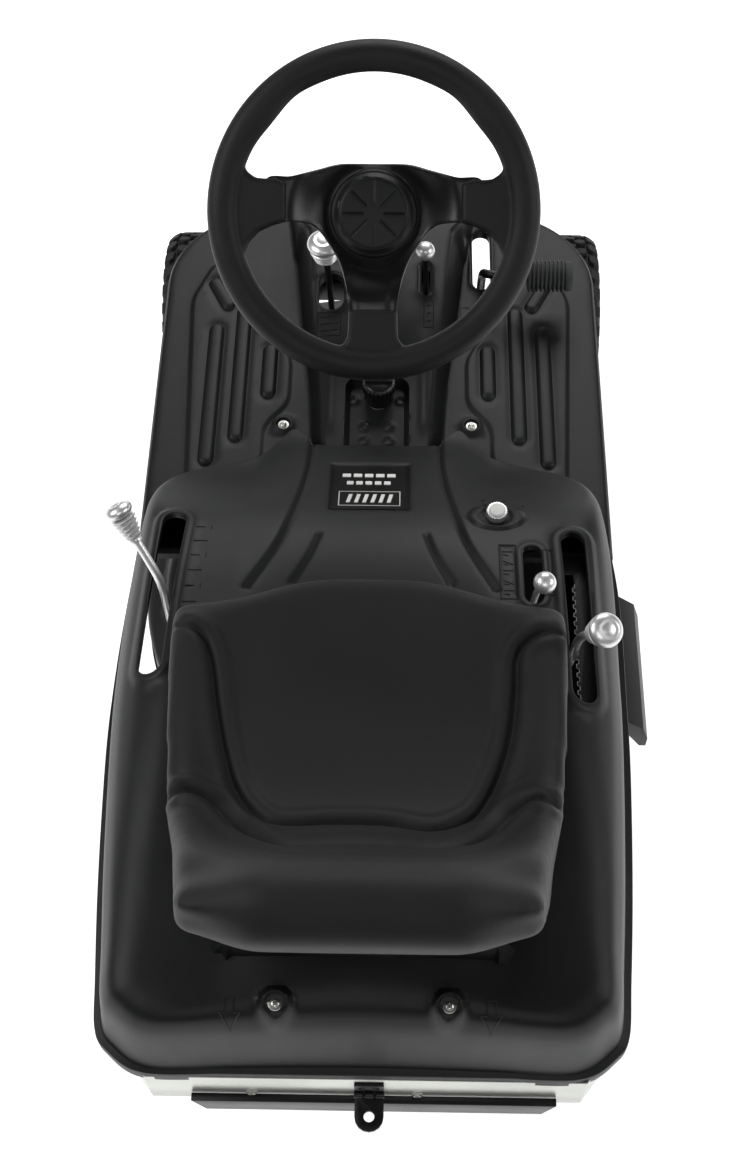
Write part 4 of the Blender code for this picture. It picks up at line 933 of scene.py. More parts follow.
def foot_deck():
    """The moulded deck with its tunnel, from one skin that follows every rib, dimple and slot."""
    column = STEER_CENTRE - STEER_AXIS * 0.520
    holes = [pill(*slot_line, half) for slot_line, half in DECK_LIPS]
    holes += [arc(*FUEL_CAP, 0.0195, 0, 350, 36),
              [(column.x + 0.0215 * math.cos(a), column.y + 0.0290 * math.sin(a))
               for a in np.linspace(0, 2 * math.pi, 36, endpoint=False)]]
    lines = []
    for grow in (-0.0045, -0.0015, 0.0015, 0.0045):
        lines += [(line, True) for line in both_sides([offset(PAD, grow)])]
    for rib in RIBS:
        for grow in (-0.0050, -0.0022, 0.0006, 0.0026, 0.0052):
            ring = dense(pill(*rib, RIB_HALF + grow, 9), 0.008)
            lines += [(line, True) for line in both_sides([ring])]
    ys = np.linspace(0.1765, 0.628, 60)
    top, foot, _ = tunnel_at(ys)
    for t in np.linspace(-0.25, 1.25, 10):
        across = top - 0.004 + (foot - top + 0.007) * t
        line = [(float(a), float(b)) for a, b in zip(across, ys)]
        lines += [(one, False) for one in both_sides([line])]
    for grow in (-0.004, -0.001, 0.003):
        lines.append((dense(offset(PLATE, grow), 0.005), True))
    for cx, cy in DIMPLES:
        lines += [(arc(cx, cy, r, 0, 345, 16), True) for r in (0.0040, 0.0058, 0.0076)]
    for r in (0.0085, 0.0105, 0.0125, 0.0165):
        lines += [(arc(s * DECK_SCREW[0], DECK_SCREW[1], r, 0, 345, 24), True) for s in (-1, 1)]
    for slot_line, grow in DECK_LIPS:
        lines += [(pill(*slot_line, grow + g), True) for g in (0.0016, 0.0035, 0.0060)]
    lines += [(offset(DECK_LOOP, -g), True) for g in (0.0015, 0.0035, 0.0065)]
    shape = skin(DECK_LOOP, holes, deck_height, 0.0085, lines,
                 [(-0.10, 0.15, 0.10, 0.30, 0.004)])
    shell("foot_deck_skin", shape, black_plastic(), 0.0035, 0.012, "foot_deck")


# ---------------------------------------------------------------- hood
def hood_loop():
    half = HOOD_OUTLINE
    loop = half + [(-x, y) for x, y in reversed(half[1:-1])]
    line = flowing(loop, 0.006, True)
    return [(x * (1.0 - HOOD_TRIM_RIGHT * float(ease((-y - 0.02) / 0.20))) if x > 0 else x, y)
            for x, y in line]


LOOP = hood_loop()


def pull_in(point, inset):
    """A point of the outline moved towards the hood's middle line."""
    anchor = Vector((0.0, min(max(point[1], POLE_REAR), POLE_FRONT)))
    p = Vector(point)
    return tuple(p + (anchor - p).normalized() * inset)


def inset_at(x, y):
    """How far inside the outline points are, measured towards the middle line."""
    loop = np.array(LOOP)
    result = np.zeros(np.shape(x))
    side = loop[(loop[:, 1] > POLE_REAR - 0.03) & (loop[:, 1] < POLE_FRONT + 0.03)]
    for sign in (-1, 1):
        rows = side[side[:, 0] * sign > 0]
        rows = rows[np.argsort(rows[:, 1])]
        reach = np.interp(y, rows[:, 1], rows[:, 0] * sign)
        result = np.where(x * sign >= 0, reach - x * sign, result)
    for pole, keep in ((POLE_FRONT, y > POLE_FRONT), (POLE_REAR, y < POLE_REAR)):
        turn = np.arctan2(loop[:, 1] - pole, loop[:, 0])
        reach = np.hypot(loop[:, 0], loop[:, 1] - pole)
        order = np.argsort(turn)
        at = np.arctan2(y - pole, x)
        value = np.interp(at, turn[order], reach[order], period=2 * math.pi) - np.hypot(x, y - pole)
        result = np.where(keep, value, result)
    return result


GROOVES = [flowing(line, 0.004) for line in both_sides([
    [(0.0835, 0.172), (0.0830, 0.130), (0.0850, 0.090), (0.0910, 0.040), (0.1010, -0.010),
     (0.1150, -0.060), (0.1450, -0.125)],
    [(0.0640, -0.040), (0.0750, -0.075), (0.0930, -0.115)]])]
LABEL_BOX = (-0.0570, 0.0050, 0.0460, 0.1100)
LABEL = rounded(*LABEL_BOX, 0.004)
STRIP = rounded(0.1500, -0.1380, 0.1690, -0.0560, 0.002)
BOLTS = [(-0.088, -0.607), (0.088, -0.607)]
# slots of the hood, with the height and width of the lip round each
HOOD_LIPS = [(LEFT_SLOT, 0.0040, 0.0055), (RIGHT_SLOT, 0.0048, 0.0060), (THROTTLE_SLOT, 0.0016, 0.0035)]


def hood_base(x, y):
    """The hood without its small features."""
    share = rise(0.085, 0.160, np.abs(x))
    top = smooth_table(HOOD_MIDDLE, y) * (1 - share) + smooth_table(HOOD_FLANK, y) * share
    wall = smooth_table(HOOD_RINGS, inset_at(x, y))
    return lower_of(wall, top, 0.0220)


def hood_height(x, y):
    """Height of the hood with its grooves, recesses, bolt domes, key ring, slot lips and seat plinth."""
    z = hood_base(x, y)
    for line in GROOVES:
        deep = 0.0040 if len(line) > 40 else 0.0028
        d = to_line(x, y, line)
        z = z - deep * np.exp(-(d / 0.0036) ** 2)
    z = z - 0.0018 * rise(0.0, 0.006, depth_in(x, y, LABEL) + 0.0010)
    for cx, cy in BOLTS:
        d = np.hypot(x - cx, y - cy)
        lift = (0.4462 - hood_base(np.array(cx), np.array(cy))) * rise(0.0215, 0.0120, d)
        z = z + lift * rise(0.0182, 0.0240, inset_at(x, y))
        z = z - 0.0016 * rise(0.0112, 0.0100, d)
    kx, ky = KEY
    d = np.hypot(x - kx, y - ky)
    eye = np.hypot((x - kx) / 1.28, (y - ky) * 1.10)
    z = z + 0.0042 * rise(0.0285, 0.0235, eye) - 0.0036 * rise(0.0205, 0.0160, d)
    z = z - 0.0009 * rise(0.0008, 0.0018, depth_in(x, y, STRIP))
    for slot_line, tall, wide in HOOD_LIPS:
        d = to_segment(x, y, *slot_line[:4]) - slot_line[4]
        z = z + tall * rise(2.6 * wide, 1.3 * wide, d) * (1 - 0.35 * rise(0.0020, 0.0, d))
    raised = depth_in(x, y, PLINTH_LOOP)
    plinth = 0.4560 + (PLINTH_TOP - 0.4560) * rise(0.0, 0.010, raised)
    return np.where(raised > 0, np.maximum(z, plinth), z)


PLINTH_LOOP = rounded(PLINTH[0] - 0.008, PLINTH[1] - 0.008, PLINTH[2] + 0.008, PLINTH[3] + 0.008, 0.020)


def hood():
    """The hood: rings of wall from its outline inwards, then one skin for the crown."""
    rows = [(0.0, 0.3004), (0.0, 0.3104), (0.0005, 0.3116), (0.0018, 0.3122), (0.0070, 0.3130),
            (0.0084, 0.3138), (0.0091, 0.3165), (0.0108, 0.3290), (0.0125, 0.3400),
            (0.0140, None), (0.0160, None), (0.0180, None)]
    rings = []
    for inset, z in rows:
        ring = [pull_in(p, inset) for p in LOOP]
        heights = hood_base(np.array([p[0] for p in ring]), np.array([p[1] for p in ring]))
        if z is not None:
            heights = [z if inset < 0.012 else min(z, h) for h in heights]
        rings.append([(p[0], p[1], float(h)) for p, h in zip(ring, heights)])
    wall = stack(rings, cap=False)
    edge = [pull_in(p, 0.0180) for p in LOOP]
    lines = [([pull_in(p, g) for p in LOOP], True)
             for g in (0.0200, 0.0225, 0.0255, 0.0290, 0.0330, 0.0380, 0.0440, 0.0510, 0.0590)]
    holes = [dense(pill(*s), 0.005) for s in (LEFT_SLOT, RIGHT_SLOT, THROTTLE_SLOT)]
    holes.append(arc(*KEY, 0.0075, 0, 345, 24))
    for slot_line, _, wide in HOOD_LIPS:
        for grow in (0.0010, 0.0022, 1.3 * wide, 1.8 * wide, 2.6 * wide):
            lines.append((dense(pill(*slot_line[:4], slot_line[4] + grow), 0.005), True))
    for grow in (-0.0050, -0.0020, 0.0012):
        lines.append((dense(offset(LABEL, grow), 0.005), True))
        lines.append((dense(offset(STRIP, grow * 0.5), 0.005), True))
    for line in GROOVES:
        for shift in (-0.0072, -0.0045, -0.0022, 0.0, 0.0022, 0.0045, 0.0072):
            lines.append(([(x + shift, y) for x, y in line], False))
    for cx, cy in BOLTS:
        lines += [(arc(cx, cy, r, 0, 350, 36), True) for r in (0.0100, 0.0112, 0.0125, 0.0160)]
    for r in (0.0120, 0.0160, 0.0182, 0.0205, 0.0235, 0.0260, 0.0285):
        long, short = (1.28, 1.10) if r > 0.021 else (1.0, 1.0)
        ring = [(KEY[0] + long * x, KEY[1] + y / short) for x, y in arc(0, 0, r, 0, 350, 36)]
        lines.append((ring, True))
    lines += [(dense(offset(PLINTH_LOOP, -g), 0.01), True) for g in (0.0, 0.005, 0.010)]
    crown = skin(edge, holes, hood_height, 0.0090, lines,
                 [(-0.20, -0.13, 0.20, 0.17, 0.0048), (-0.16, -0.635, 0.16, -0.575, 0.0050)])
    shell("hood_skin", join(wall, crown), black_plastic(), 0.0030, 0.0100, "hood", 40.0)


# ---------------------------------------------------------------- copies of CAD pieces, refined
def refined(node, finish, bevel, segments=2):
    """A CAD piece with its flat faces whole again and its edges rounded off."""
    source = frame["nodes"][node]
    bm = bmesh.new()
    bm.from_mesh(source.data)
    bmesh.ops.remove_doubles(bm, verts=bm.verts, dist=1e-5)
    bmesh.ops.dissolve_limit(bm, angle_limit=math.radians(1.2), verts=bm.verts, edges=bm.edges)
    mesh = bpy.data.meshes.new(node + "_fine")
    bm.to_mesh(mesh)
    bm.free()
    mesh.materials.append(finish)
    obj = bpy.data.objects.new(node + "_fine", mesh)
    bpy.context.scene.collection.objects.link(obj)
    round_edges(obj, bevel, segments, 28)
    bake(obj)
    smooth(obj, 40)
    attach(obj, source["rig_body"], (node,))


def metalwork():
    black, plate = black_steel(), zinc()
    for node in ("frame_rail_left", "frame_rail_right", "front_axle_bracket", "bumper_bar",
                 "front_axle_beam", "gear_lever_bracket", "seat_pan", "tow_hitch"):
        refined(node, black, 0.0007)
    refined("rear_plate", plate, 0.0004)
    refined("deflector", black_plastic(), 0.0016, 3)
    refined("lever_bracket", plate, 0.0006)
    hex_head = [(0.0, 0.0028), (0.0038, 0.0028), (0.0045, 0.0022), (0.0045, 0.0)]
    washer = [(0.0, 0.0008), (0.0062, 0.0008), (0.0066, 0.0004), (0.0066, 0.0)]
    shapes = []
    for x in (-0.1236, 0.0586):
        base = (x, -0.6437, 0.2465)
        shapes += [lathe(washer, 24, base, (0, -1, 0)),
                   lathe([(r, h + 0.0006) for r, h in hex_head], 6, base, (0, -1, 0))]
    piece("rear_plate_bolts", join(*shapes), plate, "chassis")
    # rolled hinge eye and screw heads of the tow plate
    x = 0.006
    eyes = [lathe(fillet([(0.0, 0.0), (0.0038, 0.0), (0.0038, 0.0095), (0.0, 0.0095)], 0.0008), 20,
                  (x + dx, -0.6500, 0.2660), (1, 0, 0)) for dx in (-0.0165, -0.00475, 0.0070)]
    heads = [lathe([(0.0, 0.0016), (0.0022, 0.0014), (0.0034, 0.0)], 20, (x + dx, -0.6476, 0.2790),
                   (0, -1, 0)) for dx in (-0.0095, 0.0095)]
    piece("tow_hinge", join(*eyes, *heads), black, "chassis")


def cutter_cover():
    """Pressed cover over the cutter's steps, open where the deflector hangs."""
    top, low, wide, y0 = 0.165, 0.070, 0.318, 0.080
    profile = flowing([(0.0450, top + 0.0016), (0.1300, top + 0.0016), (0.1360, top + 0.0040),
                       (0.1900, top + 0.0040), (0.1960, top + 0.0016), (0.2400, top + 0.0012),
                       (0.2700, top - 0.0040), (0.2860, top - 0.0105), (0.2950, top - 0.0200),
                       (wide - 0.0012, top - 0.0340), (wide + 0.0006, 0.5 * (top + low)),
                       (wide + 0.0012, low + 0.0050), (wide + 0.0040, low + 0.0020)], 0.004)
    count = 160
    verts = [(x, y, z) for r, z in profile for x, y in toothed(0.0, y0, [r] * count)]
    faces = []
    for i in range(len(profile) - 1):
        for k in range(count):
            a = 2 * math.pi * (k + 0.5) / count
            x, y = profile[i][0] * math.cos(a), y0 + profile[i][0] * math.sin(a)
            mouth = x > 0.2550 and -0.121 < y < 0.036
            hanger = abs(x) < 0.085 and y < -0.030
            if not mouth and not hanger:
                faces.append((i * count + k, i * count + (k + 1) % count,
                              (i + 1) * count + (k + 1) % count, (i + 1) * count + k))
    pressed("cutter_cover", (verts, faces), deck_paint(), 0.0010, "mower")


def gear_gate():
    """Notched gate and liner under the right slot; the gear lever runs between them."""
    teeth = []
    for k in range(14):
        y = -0.0860 - 0.0115 * k
        teeth += [(0.2415, y), (0.2415, y - 0.0050), (0.2388, y - 0.0058), (0.2388, y - 0.0107)]
    outer = [(0.2610, -0.2650), (0.2610, -0.0450), (0.2150, -0.0450)]
    inner = [(0.2150, -0.0700), (0.2388, -0.0700)]
    plate = prism(outer + inner + teeth + [(0.2388, -0.2650)], 0.4130, 0.4155, 0.0004)
    rim = sweep([(x - 0.0003, y, 0.4156) for x, y in teeth], 0.0005, 6)
    piece("gear_gate", plate, black_steel(), "chassis")
    piece("gear_gate_edge", rim, steel(), "chassis")
    outer = rounded(0.2120, -0.2640, 0.2640, -0.0300, 0.004)
    inner = rounded(0.2205, -0.1950, 0.2405, -0.1060, 0.006)
    liner = [[(x, y, z) for x, y in loop] for loop, z in
             ((outer, 0.3450), (outer, 0.3475), (inner, 0.3475), (inner, 0.3450))]
    piece("gear_liner", stack(liner, ring=True), black_plastic(), "chassis")


# ---------------------------------------------------------------- screws and fasteners
def screw(place, axis, head, washer):
    """Pan head with a cross recess, on its washer."""
    u, v, w = basis(axis)
    place = Vector(place)
    ring = lathe(fillet([(0.0, 0.0010), (washer, 0.0010), (washer, 0.0)], 0.0004, 3), 28, place, axis)
    wide, reach = 0.13 * head, 0.50 * head
    cross = [(wide, wide), (wide, reach), (-wide, reach), (-wide, wide), (-reach, wide),
             (-reach, -wide), (-wide, -wide), (-wide, -reach), (wide, -reach), (wide, -wide),
             (reach, -wide), (reach, wide)]
    recess = dense(cross, 0.6 * wide)
    unit = [(math.cos(math.atan2(y, x)), math.sin(math.atan2(y, x))) for x, y in recess]
    rows = [(unit, head, 0.0009), (unit, head, 0.0022), (unit, 0.841 * head, 0.0031),
            (unit, 0.58 * head, 0.0037), (recess, 1.0, 0.0038), (recess, 1.0, 0.0018)]
    return join(ring, stack([[place + (u * x + v * y) * scale + w * h for x, y in loop]
                             for loop, scale, h in rows]))


def fasteners():
    spots = [  # x, y, how far it sinks, its axis, radius of its head and of its washer
        (*DECK_SCREW, 0.0, (0, 0, 1), 0.0046, 0.0075),
        (0.108, 0.559, 0.0005, (0, -0.05, 1), 0.0042, 0.0062),
        (0.190, 0.116, 0.002, (0, 0, 1), 0.0030, 0.0040)]
    heads = []
    for x, y, sink, axis, head, washer in spots:
        for s in (-1, 1):
            z = value_at(deck_height, s * x, y) - sink
            heads.append(screw((s * x, y, z), axis, head, washer))
    piece("deck_screws", join(*heads), zinc(), "chassis")
    for side, (x, y) in zip(("left", "right"), BOLTS):
        node = "hood_bolt_" + side
        shape = screw((x, y, 0.4448), (0, 0, 1), 0.0048, 0.0072)
        piece("hood_screw_" + side, shape, zinc(), "chassis", (node,))


# ---------------------------------------------------------------- steering wheel
def on_wheel(shape):
    """Points given as (right, up, out of the wheel's plane) put in place."""
    verts, faces = shape
    return [tuple(STEER_CENTRE + Vector((1, 0, 0)) * x + STEER_UP * y + STEER_AXIS * z)
            for x, y, z in verts], faces


def pad_block(outline):
    low, high = -0.0085, 0.0070
    rows = ((0.003, low), (0.0, low + 0.003), (0.0, high - 0.0035), (0.0035, high))
    return stack([[(x, y, h) for x, y in offset(outline, -inset)] for inset, h in rows])


def wheel_grip():
    """Foam rim with finger hollows, and its three moulded pads, in one skin."""
    rings = []
    count = 120
    for i in range(count):
        a = 2 * math.pi * i / count
        deg = math.degrees(a)
        grow = sum(math.exp(-((deg - m) / 10.0) ** 2) for m in (40.0, 140.0))
        hollow = sum(math.exp(-((deg - m) / 7.0) ** 2) for m in (56.0, 124.0))
        row = []
        for k in range(24):
            b = 2 * math.pi * k / 24
            inner = max(0.0, -math.cos(b))
            r = GRIP_R + 0.0002 + inner * (0.0030 * grow - 0.0012 * hollow)
            reach = STEER_R + r * math.cos(b)
            row.append((reach * math.cos(a), reach * math.sin(a), r * math.sin(b) * 0.96))
        rings.append(row)
    shapes = [stack(rings, ring=True)]
    side = [(0.0955, 0.0310), (0.0960, -0.0100), (0.1120, -0.0150), (0.1260, -0.0215),
            (0.1360, -0.0320), (0.1430, -0.0470), (0.1640, -0.0520), (0.1690, 0.0),
            (0.1600, 0.0540), (0.1440, 0.0520), (0.1370, 0.0420), (0.1290, 0.0365),
            (0.1180, 0.0355), (0.1080, 0.0370)]
    shapes += [pad_block(side), pad_block([(-x, y) for x, y in reversed(side)])]
    low = [(0.0268, -0.1045), (0.0274, -0.1200), (0.0280, -0.1350), (0.0325, -0.1425),
           (0.0440, -0.1480), (0.0400, -0.1640), (0.0, -0.1690)]
    shapes.append(pad_block(low + [(-x, y) for x, y in reversed(low[:-1])]))
    rim = clay("steering_grip", on_wheel(join(*shapes)), soft_grip(), 0.0018, 6)
    attach(rim, "steering", ("steering_rim",))


def wheel_arms():
    """Dished spoke plate and the boss behind it."""
    def dish(x, y):
        r = np.hypot(x, y)
        z = -0.0305 + 0.0300 * rise(0.047, 0.098, r)
        fold = np.abs(np.abs(x) - 0.021)
        return z + 0.0018 * np.exp(-(fold / 0.004) ** 2) * (y < -0.055)

    plate = flowing([(0.0, 0.0540), (0.0360, 0.0530), (0.0620, 0.0460), (0.0900, 0.0385),
                     (0.1180, 0.0345), (0.1180, -0.0080), (0.0860, -0.0100), (0.0660, -0.0140),
                     (0.0500, -0.0330), (0.0370, -0.0560), (0.0290, -0.0860), (0.0250, -0.1280)],
                    0.004)
    plate = plate + [(-x, y) for x, y in reversed(plate[1:])]
    rings = [(arc(0, 0, r, 0, 352, 46), True) for r in (0.044, 0.050)]
    pressed("steering_arms", on_wheel(skin(plate, [], dish, 0.005, rings)), spoke_paint(), 0.0034,
            "steering", ("steering_spokes",), 45, 0.0008)
    boss = fillet([(0.0, -0.0400), (0.0300, -0.0400), (0.0460, -0.0340), (0.0490, -0.0290),
                   (0.0480, -0.0245), (0.0450, -0.0225), (0.0420, -0.0240), (0.0, -0.0240)], 0.002)
    piece("steering_boss", lathe(boss, 64, STEER_CENTRE, STEER_AXIS), black_plastic(), "steering")


def wheel_badge():
    """Round badge with eight grooves from its middle."""
    wide = 1.10

    def cap(x, y):
        r = np.hypot(x, y) / wide
        z = -0.0135 + 0.0020 * (1 - (r / 0.04) ** 2) - 0.0060 * rise(0.0345, 0.0400, r)
        turn = (np.arctan2(y, x) + math.pi / 8) % (math.pi / 4) - math.pi / 8
        groove = np.abs(r * np.sin(turn))
        span = rise(0.0085, 0.0105, r) * rise(0.0325, 0.0305, r)
        z = z - 0.0011 * np.exp(-(groove / 0.0009) ** 2) * span
        return z - 0.0009 * np.exp(-((r - 0.0345) / 0.0008) ** 2)

    lines = [(arc(0, 0, r * wide, 0, 355, 72), True)
             for r in (0.0080, 0.0100, 0.0310, 0.0328, 0.0338, 0.0345, 0.0352, 0.0375, 0.0390)]
    for k in range(8):
        a = k * math.pi / 4
        for shift in (-0.0018, -0.0009, 0.0, 0.0009, 0.0018):
            spoke = [(r * math.cos(a) - shift * math.sin(a), r * math.sin(a) + shift * math.cos(a))
                     for r in np.linspace(0.0100, 0.0350, 12)]
            lines.append((spoke, False))
    disc = skin(arc(0, 0, 0.0400 * wide, 0, 355, 72), [], cap, 0.0032, lines)
    pressed("hub_badge", on_wheel(disc), black_plastic(), 0.0030, "steering", ("hub_cap",), 50)


def column_tube():
    """Column cover with its rolled neck."""
    tube = fillet([(0.0125, -0.075), (0.0165, -0.075), (0.0170, -0.420), (0.0235, -0.450),
                   (0.0205, -0.458), (0.0240, -0.470), (0.0210, -0.478), (0.0200, -0.570),
                   (0.0125, -0.575)], 0.002)
    piece("column_tube", lathe(tube, 40, STEER_CENTRE, STEER_AXIS, ring=True), black_plastic(),
          "chassis", ("steering_column",))


# ---------------------------------------------------------------- wheels
TREAD_DEEP = 0.0075
WHEELS = [  # end, (y, z) of the axle, radius, inner and outer side of the tyre, rim radius
    ("front", (0.566, 0.135), 0.135, 0.231, 0.327, 0.070),
    ("rear", (-0.370, 0.165), 0.165, 0.158, 0.278, 0.088)]


def tyre_profile(radius, x0, x1, rim_r):
    wide, belt = x1 - x0, radius - TREAD_DEEP
    half = [(rim_r - 0.001, 0.13), (rim_r + 0.004, 0.070), (rim_r + 0.013, 0.028),
            (0.5 * (rim_r + radius), 0.002), (radius - 0.030, 0.010), (radius - 0.018, 0.055),
            (belt - 0.003, 0.14), (belt, 0.25)]
    return ([(r, x0 + share * wide) for r, share in half] + [(belt, 0.5 * (x0 + x1))]
            + [(r, x1 - share * wide) for r, share in reversed(half)])


def tread(radius, x0, x1, axle, s):
    """Turf blocks: a wavy middle rib, two rows of bent bars and notched shoulder lugs."""
    wide, mid = x1 - x0, 0.5 * (x0 + x1)
    pitch_count = round(2 * math.pi * radius / 0.030)
    step = 2 * math.pi / pitch_count
    rows = [  # across and along outlines in shares of half width and pitch
        [(-0.10, 0.05), (0.06, 0.00), (0.12, 0.30), (0.30, 0.42), (0.26, 0.72), (0.02, 0.66),
         (-0.14, 0.88), (-0.30, 0.74), (-0.16, 0.46)],
        [(0.24, -0.06), (0.40, -0.22), (0.60, -0.16), (0.62, 0.20), (0.46, 0.34), (0.28, 0.22)],
        [(-0.24, 0.44), (-0.28, 0.68), (-0.46, 0.82), (-0.62, 0.70), (-0.60, 0.32), (-0.40, 0.28)],
        [(0.66, 0.34), (0.82, 0.26), (1.02, 0.30), (1.02, 0.84), (0.84, 0.90), (0.70, 0.80)],
        [(-0.66, 0.84), (-0.82, 0.76), (-1.02, 0.80), (-1.02, 1.34), (-0.84, 1.40), (-0.70, 1.30)]]
    shapes = []
    for i in range(pitch_count):
        for outline in rows:
            low, top, high = [], [], []
            cx = sum(p[0] for p in outline) / len(outline)
            cy = sum(p[1] for p in outline) / len(outline)
            for a, b in outline:
                for ring, grow, up in ((low, 1.10, -0.0045), (top, 1.0, 0.0062), (high, 0.86, 0.0075)):
                    ax = cx + (a - cx) * grow
                    turn = (i + cy + (b - cy) * grow) * step
                    across = ax * 0.5 * wide * 0.93
                    crown = 0.0090 * max(0.0, (abs(ax) - 0.55) / 0.45) ** 2
                    r = radius - TREAD_DEEP + up - crown
                    ring.append(Vector((s * (mid + across), axle[0] + r * math.cos(turn),
                                        axle[1] + r * math.sin(turn))))
            shapes.append(stack([low, top, high]))
    return join(*shapes)


def rim_disc(axle, x0, x1, rim_r, s):
    """Pressed rim with its rolled edges, and wheel nuts on the larger one."""
    mid = 0.5 * (x0 + x1)
    dish = [(0.0095, x0 + 0.014), (0.024, x0 + 0.014), (0.026, mid), (rim_r - 0.020, mid + 0.004),
            (rim_r - 0.011, x0 + 0.016), (rim_r - 0.002, x0 + 0.014), (rim_r + 0.0035, x0 + 0.0075),
            (rim_r + 0.0050, x0 + 0.0095), (rim_r - 0.0008, x0 + 0.018), (rim_r - 0.0008, x1 - 0.018),
            (rim_r + 0.0050, x1 - 0.0095), (rim_r + 0.0035, x1 - 0.0070), (rim_r - 0.0030, x1 - 0.0110),
            (rim_r - 0.0085, x1 - 0.018), (rim_r - 0.013, mid + 0.013), (0.034, mid + 0.009),
            (0.0275, mid + 0.014), (0.0245, x1 - 0.022), (0.0185, x1 - 0.019), (0.0095, x1 - 0.019)]
    shapes = [lathe(fillet(dish, 0.0022) + [dish[0]], 64, (0, *axle), (s, 0, 0), ring=True)]
    if rim_r > 0.08:
        nut = fillet([(0.0, 0.0060), (0.0050, 0.0060), (0.0062, 0.0045), (0.0062, -0.002)], 0.0006)
        for k in range(5):
            a = 2 * math.pi * k / 5 + 0.3
            spot = (s * (mid + 0.0100), axle[0] + 0.045 * math.cos(a), axle[1] + 0.045 * math.sin(a))
            shapes.append(lathe(nut, 6, spot, (s, 0, 0)))
    return join(*shapes)


def wheel(side, s, end, axle, radius, x0, x1, rim_r):
    black, where = rubber("tyre_rubber", (0.0125, 0.0125, 0.0130)), f"wheel_{end}_{side}"
    tyre, rim = f"tyre_{end}_{side}", f"rim_{end}_{side}"
    centre, out, wide = (0, *axle), (s, 0, 0), x1 - x0
    inner = [(rim_r - 0.004, x1 - 0.16 * wide), (rim_r - 0.004, x0 + 0.16 * wide)]
    line = flowing(tyre_profile(radius, x0, x1, rim_r), 0.0045) + inner
    r = 0.5 * (rim_r + radius) - 0.006
    bead = fillet([(r - 0.0012, x1 - 0.004), (r, x1 + 0.0002), (r + 0.0012, x1 - 0.004)], 0.0008)
    body = join(*[lathe(profile, 96, centre, out, ring=True) for profile in (line, bead)])
    piece(tyre + "_body", body, black, where, (tyre,), 50.0)
    piece(tyre + "_tread", tread(radius, x0, x1, axle, s), black, where)
    piece(rim + "_disc", rim_disc(axle, x0, x1, rim_r, s), coated("rim_paint", (0.52, 0.53, 0.54), 0.35),
          where, (rim,) if end == "front" else ())
    cap = fillet([(0.0, x1 - 0.0080), (0.0105, x1 - 0.0085), (0.0165, x1 - 0.0120), (0.0175, x1 - 0.0185),
                  (0.0165, x1 - 0.0200)], 0.002)
    piece(f"axle_cap_{end}_{side}", lathe(cap + [(0.0, x1 - 0.020)], 48, centre, out), black_plastic(),
          where)
    valve = [(0.0, 0.020), (0.0026, 0.0195), (0.0030, 0.012), (0.0034, 0.0), (0.0040, -0.004)]
    foot = (s * (0.5 * (x0 + x1) + 0.011), axle[0] + rim_r - 0.018, axle[1])
    piece(f"valve_{end}_{side}", lathe(fillet(valve, 0.0006), 16, foot, out), black, where)


def wheels():
    for row in WHEELS:
        wheel("left", -1, *row)
        wheel("right", 1, *row)


# ---------------------------------------------------------------- levers
def beehive(r, length, rings, taper):
    """Ribbed knob, foot to crown, centred on its origin, with round ribs and a domed button."""
    profile = [(0.0, -0.5 * length), (taper * r * 0.62, -0.5 * length)]
    foot, crown = -0.47 * length, 0.12 * length
    for k in range(rings):
        step = (crown - foot) / rings
        low = foot + step * k
        wide = r * (taper + (0.93 - taper) * (k + 0.5) / rings)
        for turn in np.linspace(-80, 80, 7):
            a = math.radians(turn)
            profile.append((wide - 0.0040 + 0.0040 * math.cos(a), low + step * (0.5 + 0.40 * math.sin(a))))
    profile.append((0.84 * r, crown + 0.0006))
    for turn in np.linspace(-70, 88, 12):
        a = math.radians(turn)
        profile.append((r * (0.30 + 0.70 * math.cos(a)), crown + 0.0085 + 0.0085 * math.sin(a)))
    profile += [(0.58 * r, crown + 0.0172), (0.56 * r, crown + 0.0160), (0.50 * r, crown + 0.0163),
                (0.30 * r, crown + 0.0176), (0.0, crown + 0.0180)]
    return profile


def round_knob(r):
    """Drop-shaped knob with a faint flat on its crown."""
    line = [(0.0, -1.00 * r), (0.42 * r, -1.00 * r), (0.46 * r, -0.90 * r), (0.58 * r, -0.72 * r),
            (0.86 * r, -0.42 * r), (0.99 * r, -0.08 * r), (1.00 * r, 0.20 * r), (0.88 * r, 0.55 * r),
            (0.66 * r, 0.80 * r), (0.36 * r, 0.95 * r), (0.0, 1.00 * r)]
    return flowing(line, 0.0012)


def hand_lever(name, nodes, body, path, radius, top, profile, rod_look):
    """Bent rod with its rolled collar, and the turned knob on it."""
    top, axis = Vector(top), (Vector(top) - Vector(path[-1])).normalized()
    collar = fillet([(radius, -0.004), (radius * 1.55, -0.004), (radius * 1.55, 0.0005), (radius, 0.0005)],
                    0.0008)
    foot = top + axis * min(h for _, h in profile)
    rod = join(sweep(flowing(path + [tuple(top)], 0.004), radius, 20),
               lathe(collar, 32, foot, axis, ring=True))
    piece(name + "_rod", rod, rod_look, body, nodes[:1])
    piece(name + "_grip_knob", lathe(profile, 48, top, top - Vector(path[-1])), satin(), body,
          nodes[1:])


